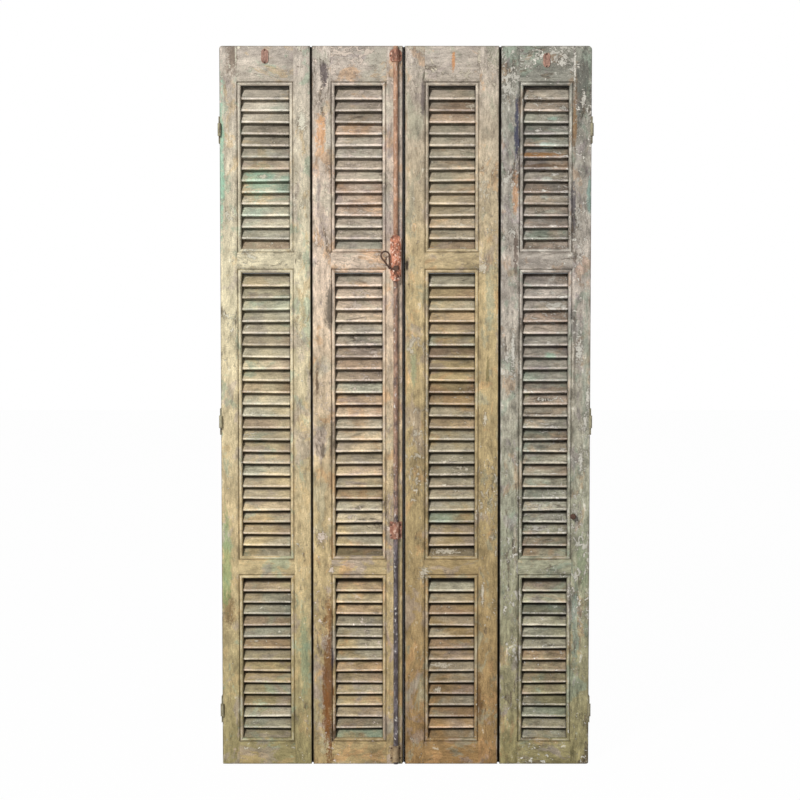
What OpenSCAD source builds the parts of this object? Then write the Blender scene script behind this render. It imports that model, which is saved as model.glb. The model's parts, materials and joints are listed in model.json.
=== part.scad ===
// Four louvred wooden shutter leaves, hung as two folding pairs.
// X runs to the viewer's right, Y away from the viewer and Z up.
// The origin is in the middle of the set's box, on the line of the leaves' feet.

/* [Leaves] */
// Height of every leaf
leaf_h = 2180; // [2000:10:2500]
// Thickness of the stiles and rails
leaf_t = 40; // [40:1:50]
// Front width of a leaf
leaf_width = 272; // [265:1:360]
// Extra width of the inner right leaf
wide_leaf_extra = 10; // [0:1:20]
// Width of each leaf's left stile, moulding included
left_stile_w = [63, 68, 71, 67]; // [60:1:85]
// Width of each leaf's right stile, moulding included
right_stile_w = [62, 60, 70, 67]; // [60:1:85]

/* [Rails] */
// Height of the top rail
top_rail_h = 118; // [90:1:150]
// Height of the upper middle rail
upper_mid_rail_h = 72; // [60:1:100]
// Height of the lower middle rail
lower_mid_rail_h = 68; // [60:1:100]
// Height of the bottom rail
bottom_rail_h = 80; // [70:1:150]
// Height of the louvred opening below the lower middle rail
lower_opening_h = 492; // [380:1:560]
// Height of the louvred opening between the middle rails
middle_opening_h = 861; // [800:1:900]

/* [Moulding] */
// Diameter of the bead along the inner edges
bead_d = 9.5; // [7:0.5:10]
// Width of the groove between the bead and the flat face
quirk_w = 2.5; // [1.5:0.5:3]

/* [Joinery] */
// Thickness of the tenons
tenon_t = 12; // [8:1:16]
// Length of the tenons beyond the rails' shoulders
tenon_l = 34; // [26:1:36]
// Set-back of a tenon's edge from a moulded rail edge
tenon_shoulder = 6; // [4:1:10]
// Set-back of a tenon's edge from the end of the leaf
tenon_haunch = 28; // [20:1:36]
// Width across the flats of the whittled pegs
peg_w = 9; // [6:0.5:11]
// Distance from a rail's shoulder to its peg
peg_inset = 14; // [11:1:18]
// Play at the shoulders, mitres, tenons and pegs
joint_gap = 0.1; // [0.05:0.05:0.2]

/* [Slats] */
// Width of a slat across its rounded edges
slat_w = 49; // [47:1:50]
// Thickness of a slat
slat_t = 8; // [6:0.5:8]
// Slope of the slats above the horizontal
slat_angle = 54; // [52:1:58]
// Target spacing of the slats, fitted to each opening
slat_pitch = 35.3; // [34:0.1:38]
// Set-back of the slats from the front face
slat_setback = 5.8; // [5.6:0.1:6.4]
// Depth of the slats' housings in the stiles
slat_housing = 8; // [6:1:10]
// Play between a slat and its housing
slat_gap = 0.2; // [0.1:0.05:0.3]
// Space between the first slat and the rail above it
slat_head_gap = 0.6; // [0.3:0.1:1]

/* [Meeting edges] */
// Front gap between the left pair's two leaves
left_fold_gap = 6; // [4:0.5:9]
// Front gap between the right pair's two leaves
right_fold_gap = 7; // [4:0.5:9]
// Thickness of the front lip that covers a folding gap
lip_t = 18; // [14:1:20]
// Overlap of the lip on the tongue behind it
lip_overlap = 4; // [3:0.5:6]
// Room between the lip and the tongue
lip_gap = 1.5; // [1:0.1:2]
// Front gap between the two pairs
meeting_gap = 8; // [6:0.5:12]
// Narrowest gap between the two pairs
meeting_slit = 1; // [1:0.1:3]
// Gap between the two pairs at the back
meeting_back_gap = 4; // [3:0.5:6]
// Depth of the straight front part of the meeting edges
meeting_step = 10; // [4:1:14]
// Depth of the narrowest place between the two pairs
meeting_nose = 24; // [23:1:25]

/* [Hinges] */
// Height of the lowest hinge's centre
bottom_hinge_z = 168; // [130:1:300]
// Height of the middle hinge's centre
middle_hinge_z = 1050; // [800:1:1200]
// Distance of the highest hinge's centre below the leaf's top
top_hinge_drop = 250; // [150:1:320]
// Thickness of the hinge flaps
flap_t = 2.2; // [1.5:0.1:3]
// Gap between the two flaps of a closed hinge
flap_gap = 1.2; // [0.8:0.1:2]
// Height of a jamb hinge's flap
jamb_flap_h = 80; // [76:1:110]
// Depth of a jamb hinge's flap
jamb_flap_d = 28; // [20:1:32]
// Height of each knuckle of a jamb hinge
jamb_knuckle_h = 19; // [14:1:24]
// Radius of a jamb hinge's barrel
jamb_barrel_r = 5; // [4:0.1:6]
// Radius of a jamb hinge's pin
jamb_pin_r = 2.7; // [2:0.1:3]
// Radius of the jamb flaps' screw holes
screw_hole_r = 2.4; // [1.5:0.1:3]
// Spacing of the two screw holes in a jamb flap
screw_spacing = 56; // [50:1:60]
// Height of a fold hinge's flap
fold_flap_h = 70; // [50:1:90]
// Depth of a fold hinge's flap
fold_flap_d = 15; // [10:1:16]
// Radius of a fold hinge's barrel
fold_barrel_r = 4.5; // [4:0.1:5.5]
// Radius of a fold hinge's pin
fold_pin_r = 2.5; // [1.5:0.1:2.6]
// Radius of the domed heads of the fold hinges' pins
fold_pin_head_r = 3.4; // [3:0.1:4]
// Room between a hinge's barrel and the leaf's face
barrel_gap = 0.5; // [0.4:0.1:1]
// Radial play of the hinge pins
pin_play = 0.08; // [0.03:0.01:0.1]
// Gap between two knuckles
knuckle_gap = 0.4; // [0.2:0.1:1]

/* [Bolt] */
// Distance of the bolt's centre line from the leaf's meeting edge
bolt_inset = 20.5; // [18:0.5:24]
// Radius of the bolt's rods
rod_r = 7; // [6:0.5:7.5]
// Distance of the rods' axis from the leaf's face
rod_out = 8; // [8:0.5:9]
// Play of the rods in their guides
rod_play = 0.4; // [0.2:0.1:0.5]
// Distance of the withdrawn rod ends from the leaf's ends
rod_end_gap = 2; // [1:1:10]
// Width of the bolt's case
case_w = 33; // [32:1:36]
// Height of the bolt's case
case_h = 139; // [130:1:160]
// Depth of the bolt's case at its crown
case_depth = 22; // [22:0.5:26]
// Drop of the case's front from its crown to its sides
case_crown = 6; // [3:0.5:8]
// Height of the case's centre above the upper middle rail's lower edge
case_rise = 43; // [30:1:60]
// Height of the handle's spindle above the case's lower end
spindle_rise = 39; // [37:1:60]
// Radius of the handle's spindle
spindle_r = 4.5; // [3.5:0.1:4.6]
// Teeth of the pinion
pinion_teeth = 12; // [12:2:12]
// Module of the pinion's teeth
tooth_module = 1.1; // [1:0.05:1.15]
// Pressure angle of the teeth
pressure_angle = 25; // [23:1:26]
// Backlash between the pinion and the racks
backlash = 0.3; // [0.2:0.05:0.4]
// Thickness of the pinion and the racks
rack_t = 6; // [4:0.5:7]
// Thickness of a rack's bar behind its teeth
rack_back = 2.6; // [2:0.1:3]
// Height of the foot that joins a rack to its rod
rack_foot_h = 6; // [4:0.5:7]
// Radius of the handle's hub
hub_r = 8; // [7:0.5:9]
// Thickness of the handle's hub
hub_t = 7; // [6:0.5:9]
// Radius of the handle's bow
bow_wire_r = 2.4; // [1.8:0.1:2.6]
// Radius of the bow's round end, along the wire's middle
bow_r = 12.5; // [11:0.5:15]
// Height of the bow's round end above the spindle
bow_rise = 38; // [32:1:44]
// Distance of the bow's straight bar from the spindle
bow_side = 19; // [18.5:0.5:24]

/* [Guides] */
// Wall of the guides around the rods
guide_wall = 3.2; // [2:0.1:4]
// Thickness of the guides' plates
guide_plate_t = 3; // [2:0.5:4]
// Width and height of the top guide
top_guide = [37, 36]; // [30:1:40]
// Width and height of the guide below the lower middle of the rod
lower_guide = [36, 52]; // [30:1:60]
// Width and height of the bottom guide
bottom_guide = [34, 50]; // [30:1:60]
// Distance of the top guide's centre below the leaf's top
top_guide_drop = 30; // [25:1:60]
// Height of the lower guide's centre above the lower middle rail's lower edge
lower_guide_rise = 148; // [110:1:220]
// Height of the bottom guide's centre
bottom_guide_z = 34; // [30:1:60]

/* [Fittings] */
// Width and height of the oval eye plates on the outer top rails
eye_plate = [21, 43]; // [16:1:50]
// Width of the eye plates' rims
eye_rim_w = 5; // [3:0.5:6]
// Thickness of the eye plates
eye_plate_t = 3; // [2:0.5:5]
// Distance of the left eye plate's centre below the leaf's top
left_eye_drop = 31; // [26:1:60]
// Distance of the right eye plate's centre below the leaf's top
right_eye_drop = 43; // [26:1:60]
// Diameter of the turned knob on the right leaf
knob_d = 18; // [14:1:24]
// Length of the knob
knob_l = 20; // [14:1:26]
// Distance of the knob's centre from the leaf's jamb edge
knob_inset = 51; // [30:1:55]
// Height of the knob's centre above the lower middle rail's lower edge
knob_rise = 190; // [130:1:300]
// Play under the plates that sit on a face
seat_gap = 0.05; // [0.02:0.01:0.1]

/* [Hidden] */
$fn = 48;
cut = 1;
OUTER_LEFT = 0;
INNER_LEFT = 1;
INNER_RIGHT = 2;
OUTER_RIGHT = 3;
LEAVES = ["outer_left", "inner_left", "inner_right", "outer_right"];
LEAF_PIECES = ["left_stile", "right_stile", "top_rail", "upper_mid_rail", "lower_mid_rail", "bottom_rail",
    "slats", "pegs"];

// Paint and metal colours, leaf by leaf
FRAME_COLOURS = [[0.58, 0.57, 0.49], [0.62, 0.55, 0.46], [0.58, 0.52, 0.40], [0.55, 0.52, 0.49]];
SLAT_COLOURS = [[0.60, 0.62, 0.54], [0.55, 0.54, 0.46], [0.53, 0.52, 0.43], [0.48, 0.47, 0.42]];
PEG_COLOUR = [0.40, 0.33, 0.26];
IRON_COLOUR = [0.34, 0.25, 0.20];
RUST_COLOUR = [0.46, 0.26, 0.20];

// Where the leaves stand
leaf_w = [leaf_width, leaf_width, leaf_width + wide_leaf_extra, leaf_width];
function sum_of_first(list, n) = n < 1 ? 0 : list[n - 1] + sum_of_first(list, n - 1);
gaps = [left_fold_gap, meeting_gap, right_fold_gap];
set_w = sum_of_first(leaf_w, len(leaf_w)) + sum_of_first(gaps, len(gaps));
function leaf_left(i) = -set_w / 2 + sum_of_first(leaf_w, i) + sum_of_first(gaps, i);
function leaf_right(i) = leaf_left(i) + leaf_w[i];
function sight_left(i) = leaf_left(i) + left_stile_w[i];
function sight_right(i) = leaf_right(i) - right_stile_w[i];

// Depths of the faces: the set's box is centred between the handle's hub and the fold hinges' barrels
hub_out = case_depth + rod_play;
front_reach = hub_out + hub_t;
fold_axis_out = fold_barrel_r + barrel_gap;
back_reach = fold_axis_out + fold_barrel_r;
front_y = (front_reach - back_reach - leaf_t) / 2;
back_y = front_y + leaf_t;

// Rails and louvred openings, from the bottom up
lower_mid_z = bottom_rail_h + lower_opening_h;
middle_opening_z = lower_mid_z + lower_mid_rail_h;
upper_mid_z = middle_opening_z + middle_opening_h;
top_opening_z = upper_mid_z + upper_mid_rail_h;
top_rail_z = leaf_h - top_rail_h;
OPENINGS = [[bottom_rail_h, lower_mid_z], [middle_opening_z, upper_mid_z], [top_opening_z, top_rail_z]];
// Each rail: its lower and upper edge, and whether each of them is moulded
BOTTOM_RAIL = [0, bottom_rail_h, false, true];
LOWER_MID_RAIL = [lower_mid_z, middle_opening_z, true, true];
UPPER_MID_RAIL = [upper_mid_z, top_opening_z, true, true];
TOP_RAIL = [top_rail_z, leaf_h, true, false];
RAILS = [BOTTOM_RAIL, LOWER_MID_RAIL, UPPER_MID_RAIL, TOP_RAIL];
bead_r = bead_d / 2;
mould_w = bead_d + quirk_w;
function tenon_low(rail) = rail[0] + (rail[2] ? mould_w + tenon_shoulder : tenon_haunch);
function tenon_high(rail) = rail[1] - (rail[3] ? mould_w + tenon_shoulder : tenon_haunch);
peg_sides = 8;
peg_turn = 180 / peg_sides;

// Slats
slat_span = slat_w - slat_t;
slat_nose_y = slat_setback + slat_t / 2;
function slat_count(opening) = round((opening[1] - opening[0]) / slat_pitch);
function slat_step(opening) = (opening[1] - opening[0]) / slat_count(opening);
function slat_nose_z(opening, k) =
    opening[1] - slat_head_gap - slat_t - slat_span * sin(slat_angle) + slat_t / 2 - k * slat_step(opening);

// Hinges
HINGE_ZS = [bottom_hinge_z, middle_hinge_z, leaf_h - top_hinge_drop];
jamb_axis_out = jamb_barrel_r + barrel_gap;
fold_knuckle_h = (fold_flap_h - 2 * knuckle_gap) / 3;
left_fold_x = leaf_left(INNER_LEFT) + lip_overlap + flap_gap / 2;
right_fold_x = leaf_right(INNER_RIGHT) - lip_overlap - flap_gap / 2;
jamb_x = set_w / 2 + flap_gap / 2;

// Bolt
bolt_x = leaf_right(INNER_LEFT) - bolt_inset;
case_z = upper_mid_z + case_rise;
spindle_z = case_z - case_h / 2 + spindle_rise;
pitch_r = pinion_teeth * tooth_module / 2;
addendum_share = 0.8;
dedendum_share = 1.1;
addendum = addendum_share * tooth_module;
dedendum = dedendum_share * tooth_module;
tooth_pitch = PI * tooth_module;
tooth_w = tooth_pitch / 2 - backlash / 2;
bolt_throw = pitch_r * PI / 2;
rack_inner = pitch_r + dedendum;
rack_outer = rack_inner + rack_back;
rack_out = rod_out - rack_t / 2;
foot_clearance = 4;
foot_z = pitch_r + addendum + foot_clearance;
rack_first_tooth = -5;
rack_last_tooth = 1;
rack_tail = 0.3;
rod_flat = pitch_r - addendum - rod_play;
flat_end = rack_tail - rack_first_tooth * tooth_pitch + rod_play;
square_share = 0.9;
spindle_square = square_share * spindle_r * sqrt(2);
cavity_w = 2 * (rack_outer + rod_play);
cavity_h = 2 * (foot_z + rack_foot_h + bolt_throw + rod_play);
cavity_out = rod_out + rod_r + rod_play;

// Rosette on the case
petals = 8;
rosette_z = case_h / 6;
petal_ring = case_w / 4.6;
petal_r = case_w / 9;
boss_r = 1.3 * petal_r;

// A flat section in depth and height, drawn out along X between two places
module along_x(from, to) {
    translate([from, front_y, 0]) rotate([90, 0, 90]) linear_extrude(to - from) children();
}

// A flat section in X and Z, drawn through the leaf's thickness
module through_leaf(thickness = leaf_t, depth = 0) {
    translate([0, front_y + depth + thickness, 0]) rotate([90, 0, 0]) linear_extrude(thickness) children();
}

// What the plane takes off a square edge to leave a bead and its quirk:
// x counts from the edge, y from the face
module bead_waste(swap = false) {
    reach = [mould_w, bead_r] + [cut, cut];
    difference() {
        translate([-cut, -cut]) square(swap ? [reach[1], reach[0]] : reach);
        translate([bead_r, bead_r]) circle(r = bead_r);
    }
}

// Eight-sided bar across the leaf, such as a peg or its hole
module peg_bar(w, from, to) {
    translate([0, to, 0]) rotate([90, 0, 0]) rotate(peg_turn)
        cylinder(h = to - from, d = w / cos(peg_turn), $fn = peg_sides);
}

// Section of a slat about the centre of its lower rounded edge
module slat_section() {
    rotate(slat_angle) {
        translate([0, -slat_t / 2]) square([slat_span, slat_t]);
        circle(d = slat_t);
        translate([slat_span, 0]) circle(d = slat_t);
    }
}

// Section of a slat's housing, with chiselled flat ends
module housing_section() {
    half = slat_t / 2 + slat_gap;
    corner = half * tan(peg_turn);
    far = slat_span + half;
    rotate(slat_angle) polygon([[-half, -corner], [-half, corner], [-corner, half],
        [slat_span + corner, half], [far, corner], [far, -corner],
        [slat_span + corner, -half], [-corner, -half]]);
}

// Places a section at one slat of an opening, and trims it to the rail below
module at_slat(opening, k, gap) {
    low = opening[0] + gap;
    intersection() {
        translate([slat_nose_y, slat_nose_z(opening, k)]) children();
        translate([-leaf_t, low]) square([3 * leaf_t, opening[1] - low]);
    }
}

// Outline of a stile in plan, from its moulding to its outer edge: x counts outwards from the sight line
function plain_edge(w) = [[w, 0], [w, leaf_t]];
function tongue_edge(w, gap) = [[w, 0], [w, lip_t + lip_gap], [w + gap + lip_overlap, lip_t + lip_gap],
    [w + gap + lip_overlap, leaf_t]];
function lip_edge(w) = [[w, 0], [w, lip_t], [w - lip_overlap - flap_gap, lip_t],
    [w - lip_overlap - flap_gap, leaf_t]];
function nose_edge(w) = [[w, 0], [w, meeting_step], [w + (meeting_gap - meeting_slit) / 2, meeting_nose],
    [w + (meeting_gap - meeting_back_gap) / 2, leaf_t]];
function left_edge(i) =
    i == OUTER_LEFT ? plain_edge(left_stile_w[i])
    : i == INNER_LEFT ? lip_edge(left_stile_w[i])
    : i == INNER_RIGHT ? nose_edge(left_stile_w[i])
    : tongue_edge(left_stile_w[i], right_fold_gap);
function right_edge(i) =
    i == OUTER_LEFT ? tongue_edge(right_stile_w[i], left_fold_gap)
    : i == INNER_LEFT ? nose_edge(right_stile_w[i])
    : i == INNER_RIGHT ? lip_edge(right_stile_w[i])
    : plain_edge(right_stile_w[i]);

// Pockets for hinge flaps in a stile's outer edge: x of the edge, first and last depth, flap height
module flap_pockets(edge_x, from, to, h) {
    for (z = HINGE_ZS)
        translate([edge_x - flap_t - joint_gap, from, z - h / 2 - joint_gap])
            cube([flap_t + joint_gap + cut, to - from, h + 2 * joint_gap]);
}

// One stile, moulding inwards: x counts outwards from the sight line, y backwards from the face
module stile(edge) {
    difference() {
        union() {
            linear_extrude(leaf_h)
                polygon(concat([[mould_w, 0]], edge, [[mould_w, leaf_t]]));
            for (opening = OPENINGS)
                translate([0, leaf_t, 0]) rotate([90, 0, 0]) linear_extrude(leaf_t)
                    polygon([[0, opening[0]], [mould_w, opening[0] - mould_w],
                        [mould_w, opening[1] + mould_w], [0, opening[1]]]);
        }
        translate([0, 0, -cut]) linear_extrude(leaf_h + 2 * cut) bead_waste();
        for (opening = OPENINGS)
            for (k = [0 : slat_count(opening) - 1])
                translate([-cut, 0, 0]) rotate([90, 0, 90]) linear_extrude(slat_housing + cut)
                    at_slat(opening, k, 0) housing_section();
        for (rail = RAILS) {
            translate([mould_w - cut, (leaf_t - tenon_t) / 2 - joint_gap, tenon_low(rail) - joint_gap])
                cube([tenon_l + joint_gap + cut, tenon_t + 2 * joint_gap,
                    tenon_high(rail) - tenon_low(rail) + 2 * joint_gap]);
            translate([mould_w + peg_inset, 0, (tenon_low(rail) + tenon_high(rail)) / 2])
                peg_bar(peg_w + 2 * joint_gap, -cut, leaf_t + cut);
        }
    }
}

module left_stile(i) {
    color(FRAME_COLOURS[i]) translate([sight_left(i), front_y, 0]) mirror([1, 0, 0]) difference() {
        stile(left_edge(i));
        if (i == OUTER_LEFT) jamb_pockets(left_stile_w[i]);
        if (i == INNER_LEFT) fold_pockets(left_stile_w[i] - lip_overlap - flap_gap);
        if (i == OUTER_RIGHT) fold_pockets(left_stile_w[i] + right_fold_gap + lip_overlap);
    }
}

module right_stile(i) {
    color(FRAME_COLOURS[i]) translate([sight_right(i), front_y, 0]) difference() {
        stile(right_edge(i));
        if (i == OUTER_LEFT) fold_pockets(right_stile_w[i] + left_fold_gap + lip_overlap);
        if (i == INNER_RIGHT) fold_pockets(right_stile_w[i] - lip_overlap - flap_gap);
        if (i == OUTER_RIGHT) jamb_pockets(right_stile_w[i]);
    }
}

module jamb_pockets(edge_x) {
    flap_pockets(edge_x, -cut, jamb_flap_d + joint_gap, jamb_flap_h);
}

module fold_pockets(edge_x) {
    flap_pockets(edge_x, leaf_t - fold_flap_d - joint_gap, leaf_t + cut, fold_flap_h);
}

// One rail with its mitred mouldings and its two tenons
module leaf_rail(i, rail) {
    x0 = sight_left(i) + joint_gap;
    x1 = sight_right(i) - joint_gap;
    shoulder_0 = x0 - mould_w;
    shoulder_1 = x1 + mould_w;
    low = rail[0];
    high = rail[1];
    lower_edge = rail[2]
        ? [[shoulder_0, low + mould_w], [x0, low], [x1, low], [shoulder_1, low + mould_w]]
        : [[shoulder_0, low], [shoulder_1, low]];
    upper_edge = rail[3]
        ? [[shoulder_1, high - mould_w], [x1, high], [x0, high], [shoulder_0, high - mould_w]]
        : [[shoulder_1, high], [shoulder_0, high]];
    tenon_x = shoulder_0 - tenon_l;
    tenon_end = shoulder_1 + tenon_l;
    color(FRAME_COLOURS[i]) difference() {
        union() {
            through_leaf() polygon(concat(lower_edge, upper_edge));
            through_leaf(tenon_t, (leaf_t - tenon_t) / 2) translate([tenon_x, tenon_low(rail)])
                square([tenon_end - tenon_x, tenon_high(rail) - tenon_low(rail)]);
        }
        if (rail[2]) along_x(shoulder_0, shoulder_1) translate([0, low]) bead_waste(true);
        if (rail[3])
            along_x(shoulder_0, shoulder_1) translate([0, high]) mirror([0, 1]) bead_waste(true);
        for (x = peg_xs(i))
            translate([x, front_y, (tenon_low(rail) + tenon_high(rail)) / 2])
                peg_bar(peg_w + 2 * joint_gap, -cut, leaf_t + cut);
    }
}

function peg_xs(i) = [sight_left(i) - mould_w - peg_inset, sight_right(i) + mould_w + peg_inset];

module slats(i) {
    color(SLAT_COLOURS[i])
        for (opening = OPENINGS)
            for (k = [0 : slat_count(opening) - 1])
                along_x(sight_left(i) - slat_housing + slat_gap, sight_right(i) + slat_housing - slat_gap)
                    at_slat(opening, k, joint_gap) slat_section();
}

module pegs(i) {
    color(PEG_COLOUR)
        for (rail = RAILS)
            for (x = peg_xs(i))
                translate([x, front_y, (tenon_low(rail) + tenon_high(rail)) / 2]) peg_bar(peg_w, 0, leaf_t);
}

// Places a hinge with its axis on Z at one jamb: x runs from the jamb to the leaf, y backwards
module at_jamb(right) {
    translate([right ? jamb_x : -jamb_x, front_y - jamb_axis_out, 0]) mirror([right ? 1 : 0, 0, 0])
        for (z = HINGE_ZS)
            translate([0, 0, z]) children();
}

// Flap of a jamb hinge and the tab that curls into its knuckle, on the leaf's side of the axis
module jamb_flap(knuckle_low) {
    translate([flap_gap / 2, jamb_axis_out, -jamb_flap_h / 2]) cube([flap_t, jamb_flap_d, jamb_flap_h]);
    translate([flap_gap / 2, 0, knuckle_low])
        cube([flap_t, jamb_axis_out + cut, jamb_knuckle_h - knuckle_gap / 2]);
    translate([0, 0, knuckle_low]) cylinder(h = jamb_knuckle_h - knuckle_gap / 2, r = jamb_barrel_r);
}

// Lower halves of the lift-off hinges: flaps for the jamb, knuckles and fixed pins
module jamb_hinge_halves(right) {
    color(IRON_COLOUR) at_jamb(right) {
        difference() {
            mirror([1, 0, 0]) jamb_flap(-jamb_knuckle_h);
            for (side = [-1, 1])
                translate([-flap_gap / 2 - flap_t, jamb_axis_out + jamb_flap_d / 2, side * screw_spacing / 2])
                    rotate([0, 90, 0]) {
                        translate([0, 0, -cut]) cylinder(h = flap_t + 2 * cut, r = screw_hole_r);
                        translate([0, 0, flap_t / 2])
                            cylinder(h = flap_t / 2, r1 = screw_hole_r, r2 = screw_hole_r + flap_t / 2);
                    }
        }
        translate([0, 0, -jamb_knuckle_h]) cylinder(h = 2 * jamb_knuckle_h - 2 * flap_t, r = jamb_pin_r);
    }
}

// Upper halves of the lift-off hinges: flaps let into the leaf's edge, and closed knuckles
module leaf_hinge_halves(right) {
    color(RUST_COLOUR) at_jamb(right) difference() {
        jamb_flap(knuckle_gap / 2);
        cylinder(h = jamb_knuckle_h - flap_t, r = jamb_pin_r + pin_play);
    }
}

// Places a hinge with its axis on Z behind a folding gap: x runs from the outer leaf to the inner one
module at_fold(right) {
    translate([right ? right_fold_x : left_fold_x, back_y + fold_axis_out, 0]) mirror([right ? 1 : 0, 0, 0])
        for (z = HINGE_ZS)
            translate([0, 0, z]) children();
}

// Flap of a fold hinge on the inner leaf's side, with knuckles at the given heights
module fold_flap(knuckle_lows) {
    difference() {
        union() {
            translate([flap_gap / 2, -fold_axis_out - fold_flap_d, -fold_flap_h / 2])
                cube([flap_t, fold_flap_d, fold_flap_h]);
            for (low = knuckle_lows) translate([0, 0, low]) {
                translate([flap_gap / 2, -fold_axis_out - cut, 0])
                    cube([flap_t, fold_axis_out + cut, fold_knuckle_h]);
                cylinder(h = fold_knuckle_h, r = fold_barrel_r);
            }
        }
        translate([0, 0, -fold_flap_h / 2 - cut])
            cylinder(h = fold_flap_h + 2 * cut, r = fold_pin_r + pin_play);
    }
}

module inner_fold_flaps(right) {
    color(RUST_COLOUR) at_fold(right) fold_flap([-fold_knuckle_h / 2]);
}

module outer_fold_flaps(right) {
    color(RUST_COLOUR) at_fold(right) mirror([1, 0, 0])
        fold_flap([-fold_flap_h / 2, fold_flap_h / 2 - fold_knuckle_h]);
}

module fold_pins(right) {
    shank = fold_flap_h / 2 + pin_play;
    color(IRON_COLOUR) at_fold(right) rotate_extrude() {
        translate([0, -shank]) square([fold_pin_r, 2 * shank]);
        for (end = [0, 1]) mirror([0, end]) translate([0, shank]) intersection() {
            circle(r = fold_pin_head_r);
            square(fold_pin_head_r);
        }
    }
}

// Bolt frame: x from the rods' axis, y outwards from the leaf's face, z from the spindle
module at_bolt(z = 0) {
    translate([bolt_x, front_y, z]) mirror([0, 1, 0]) children();
}

// A shape in X and Z, drawn outwards from the leaf's face
module outwards(from, to) {
    translate([0, to, 0]) rotate([90, 0, 0]) linear_extrude(to - from) children();
}

module case_outline() {
    end_r = case_w / 2;
    translate([-end_r, -case_h / 2 + end_r]) square([case_w, case_h - case_w]);
    for (side = [-1, 1]) translate([0, side * (case_h / 2 - end_r)]) circle(r = end_r);
}

// Cast case: a crowned shell over the racks, open towards the leaf, with a rosette in relief
module bolt_case() {
    crown_r = (pow(case_w / 2, 2) + pow(case_crown, 2)) / (2 * case_crown);
    color(RUST_COLOUR) at_bolt() difference() {
        translate([0, 0, case_z]) {
            intersection() {
                outwards(seat_gap, case_depth) case_outline();
                translate([0, case_depth - crown_r, -case_h / 2]) cylinder(h = case_h, r = crown_r, $fn = 96);
            }
            for (k = [0 : petals - 1])
                translate([petal_ring * cos(k * 360 / petals), case_depth - petal_r,
                    rosette_z + petal_ring * sin(k * 360 / petals)]) sphere(r = petal_r);
            translate([0, case_depth - petal_r, rosette_z]) sphere(r = boss_r);
        }
        translate([-cavity_w / 2, 0, spindle_z - cavity_h / 2]) cube([cavity_w, cavity_out, cavity_h]);
        translate([0, 0, case_z - case_h]) {
            translate([0, rod_out, 0]) cylinder(h = 2 * case_h, r = rod_r + rod_play);
            translate([-rod_r - rod_play, 0, 0]) cube([2 * (rod_r + rod_play), rod_out, 2 * case_h]);
        }
        translate([0, cut + hub_out, spindle_z]) rotate([90, 0, 0])
            cylinder(h = hub_out, r = spindle_r + pin_play);
    }
}

// Involute of the pinion's base circle, in degrees of roll
function involute(base_r, roll) =
    base_r * [cos(roll) + roll * PI / 180 * sin(roll), sin(roll) - roll * PI / 180 * cos(roll)];
function turned(p, angle) = [p[0] * cos(angle) - p[1] * sin(angle), p[0] * sin(angle) + p[1] * cos(angle)];

// Outline of the pinion, with one tooth centred on +X
function pinion_points() =
    let (base_r = pitch_r * cos(pressure_angle),
        tip_roll = sqrt(pow((pitch_r + addendum) / base_r, 2) - 1) * 180 / PI,
        pitch_roll = tan(pressure_angle) * 180 / PI,
        half_tooth = tooth_w / pitch_r / 2 * 180 / PI + pitch_roll - pressure_angle,
        steps = 4,
        flank = [for (s = [0 : steps]) turned(involute(base_r, tip_roll * s / steps), -half_tooth)],
        root = turned([pitch_r - dedendum, 0], -half_tooth),
        side = concat([root], flank),
        tooth = concat(side, [for (s = [len(side) - 1 : -1 : 0]) [side[s][0], -side[s][1]]]))
    [for (k = [0 : pinion_teeth - 1]) for (p = tooth) turned(p, k * 360 / pinion_teeth)];

// Pinion on the square end of the spindle
module bolt_pinion() {
    color(IRON_COLOUR) at_bolt() translate([0, 0, spindle_z])
        outwards(rack_out, rack_out + rack_t) difference() {
            polygon(pinion_points());
            square(spindle_square + 2 * seat_gap, center = true);
        }
}

// Rack for the right side of the pinion, about the spindle, on the foot of a rod that leads upwards
module rack_outline() {
    slope = tan(pressure_angle);
    tip = pitch_r - addendum;
    bottom_z = rack_first_tooth * tooth_pitch - rack_tail;
    polygon(concat(
        [[rack_outer, foot_z + rack_foot_h], [rack_outer, bottom_z], [rack_inner, bottom_z]],
        [for (k = [rack_first_tooth : rack_last_tooth]) for (side = [-1, 1]) each
            let (z = (k + 0.5) * tooth_pitch,
                root = [rack_inner, z + side * (tooth_w / 2 + dedendum * slope)],
                crest = [tip, z + side * (tooth_w / 2 - addendum * slope)])
            side < 0 ? [root, crest] : [crest, root]],
        [[rack_inner, foot_z], [0, foot_z], [0, foot_z + rack_foot_h]]));
}

// Rod of the given length above the spindle, with its rack and a flat that clears the other rack's teeth
module rod(l) {
    outwards(rack_out, rack_out + rack_t) rack_outline();
    difference() {
        translate([0, rod_out, foot_z]) cylinder(h = l - foot_z, r = rod_r);
        translate([-rod_flat - rod_r, 0, foot_z - cut]) cube([rod_r, 2 * rod_out, flat_end + cut - foot_z]);
    }
}

module upper_rod() {
    color(RUST_COLOUR) at_bolt() translate([0, 0, spindle_z]) rod(leaf_h - rod_end_gap - spindle_z);
}

module lower_rod() {
    color(IRON_COLOUR) at_bolt() translate([0, 0, spindle_z])
        translate([0, 2 * rod_out, 0]) rotate([180, 0, 0]) mirror([1, 0, 0]) rod(spindle_z - rod_end_gap);
}

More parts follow.
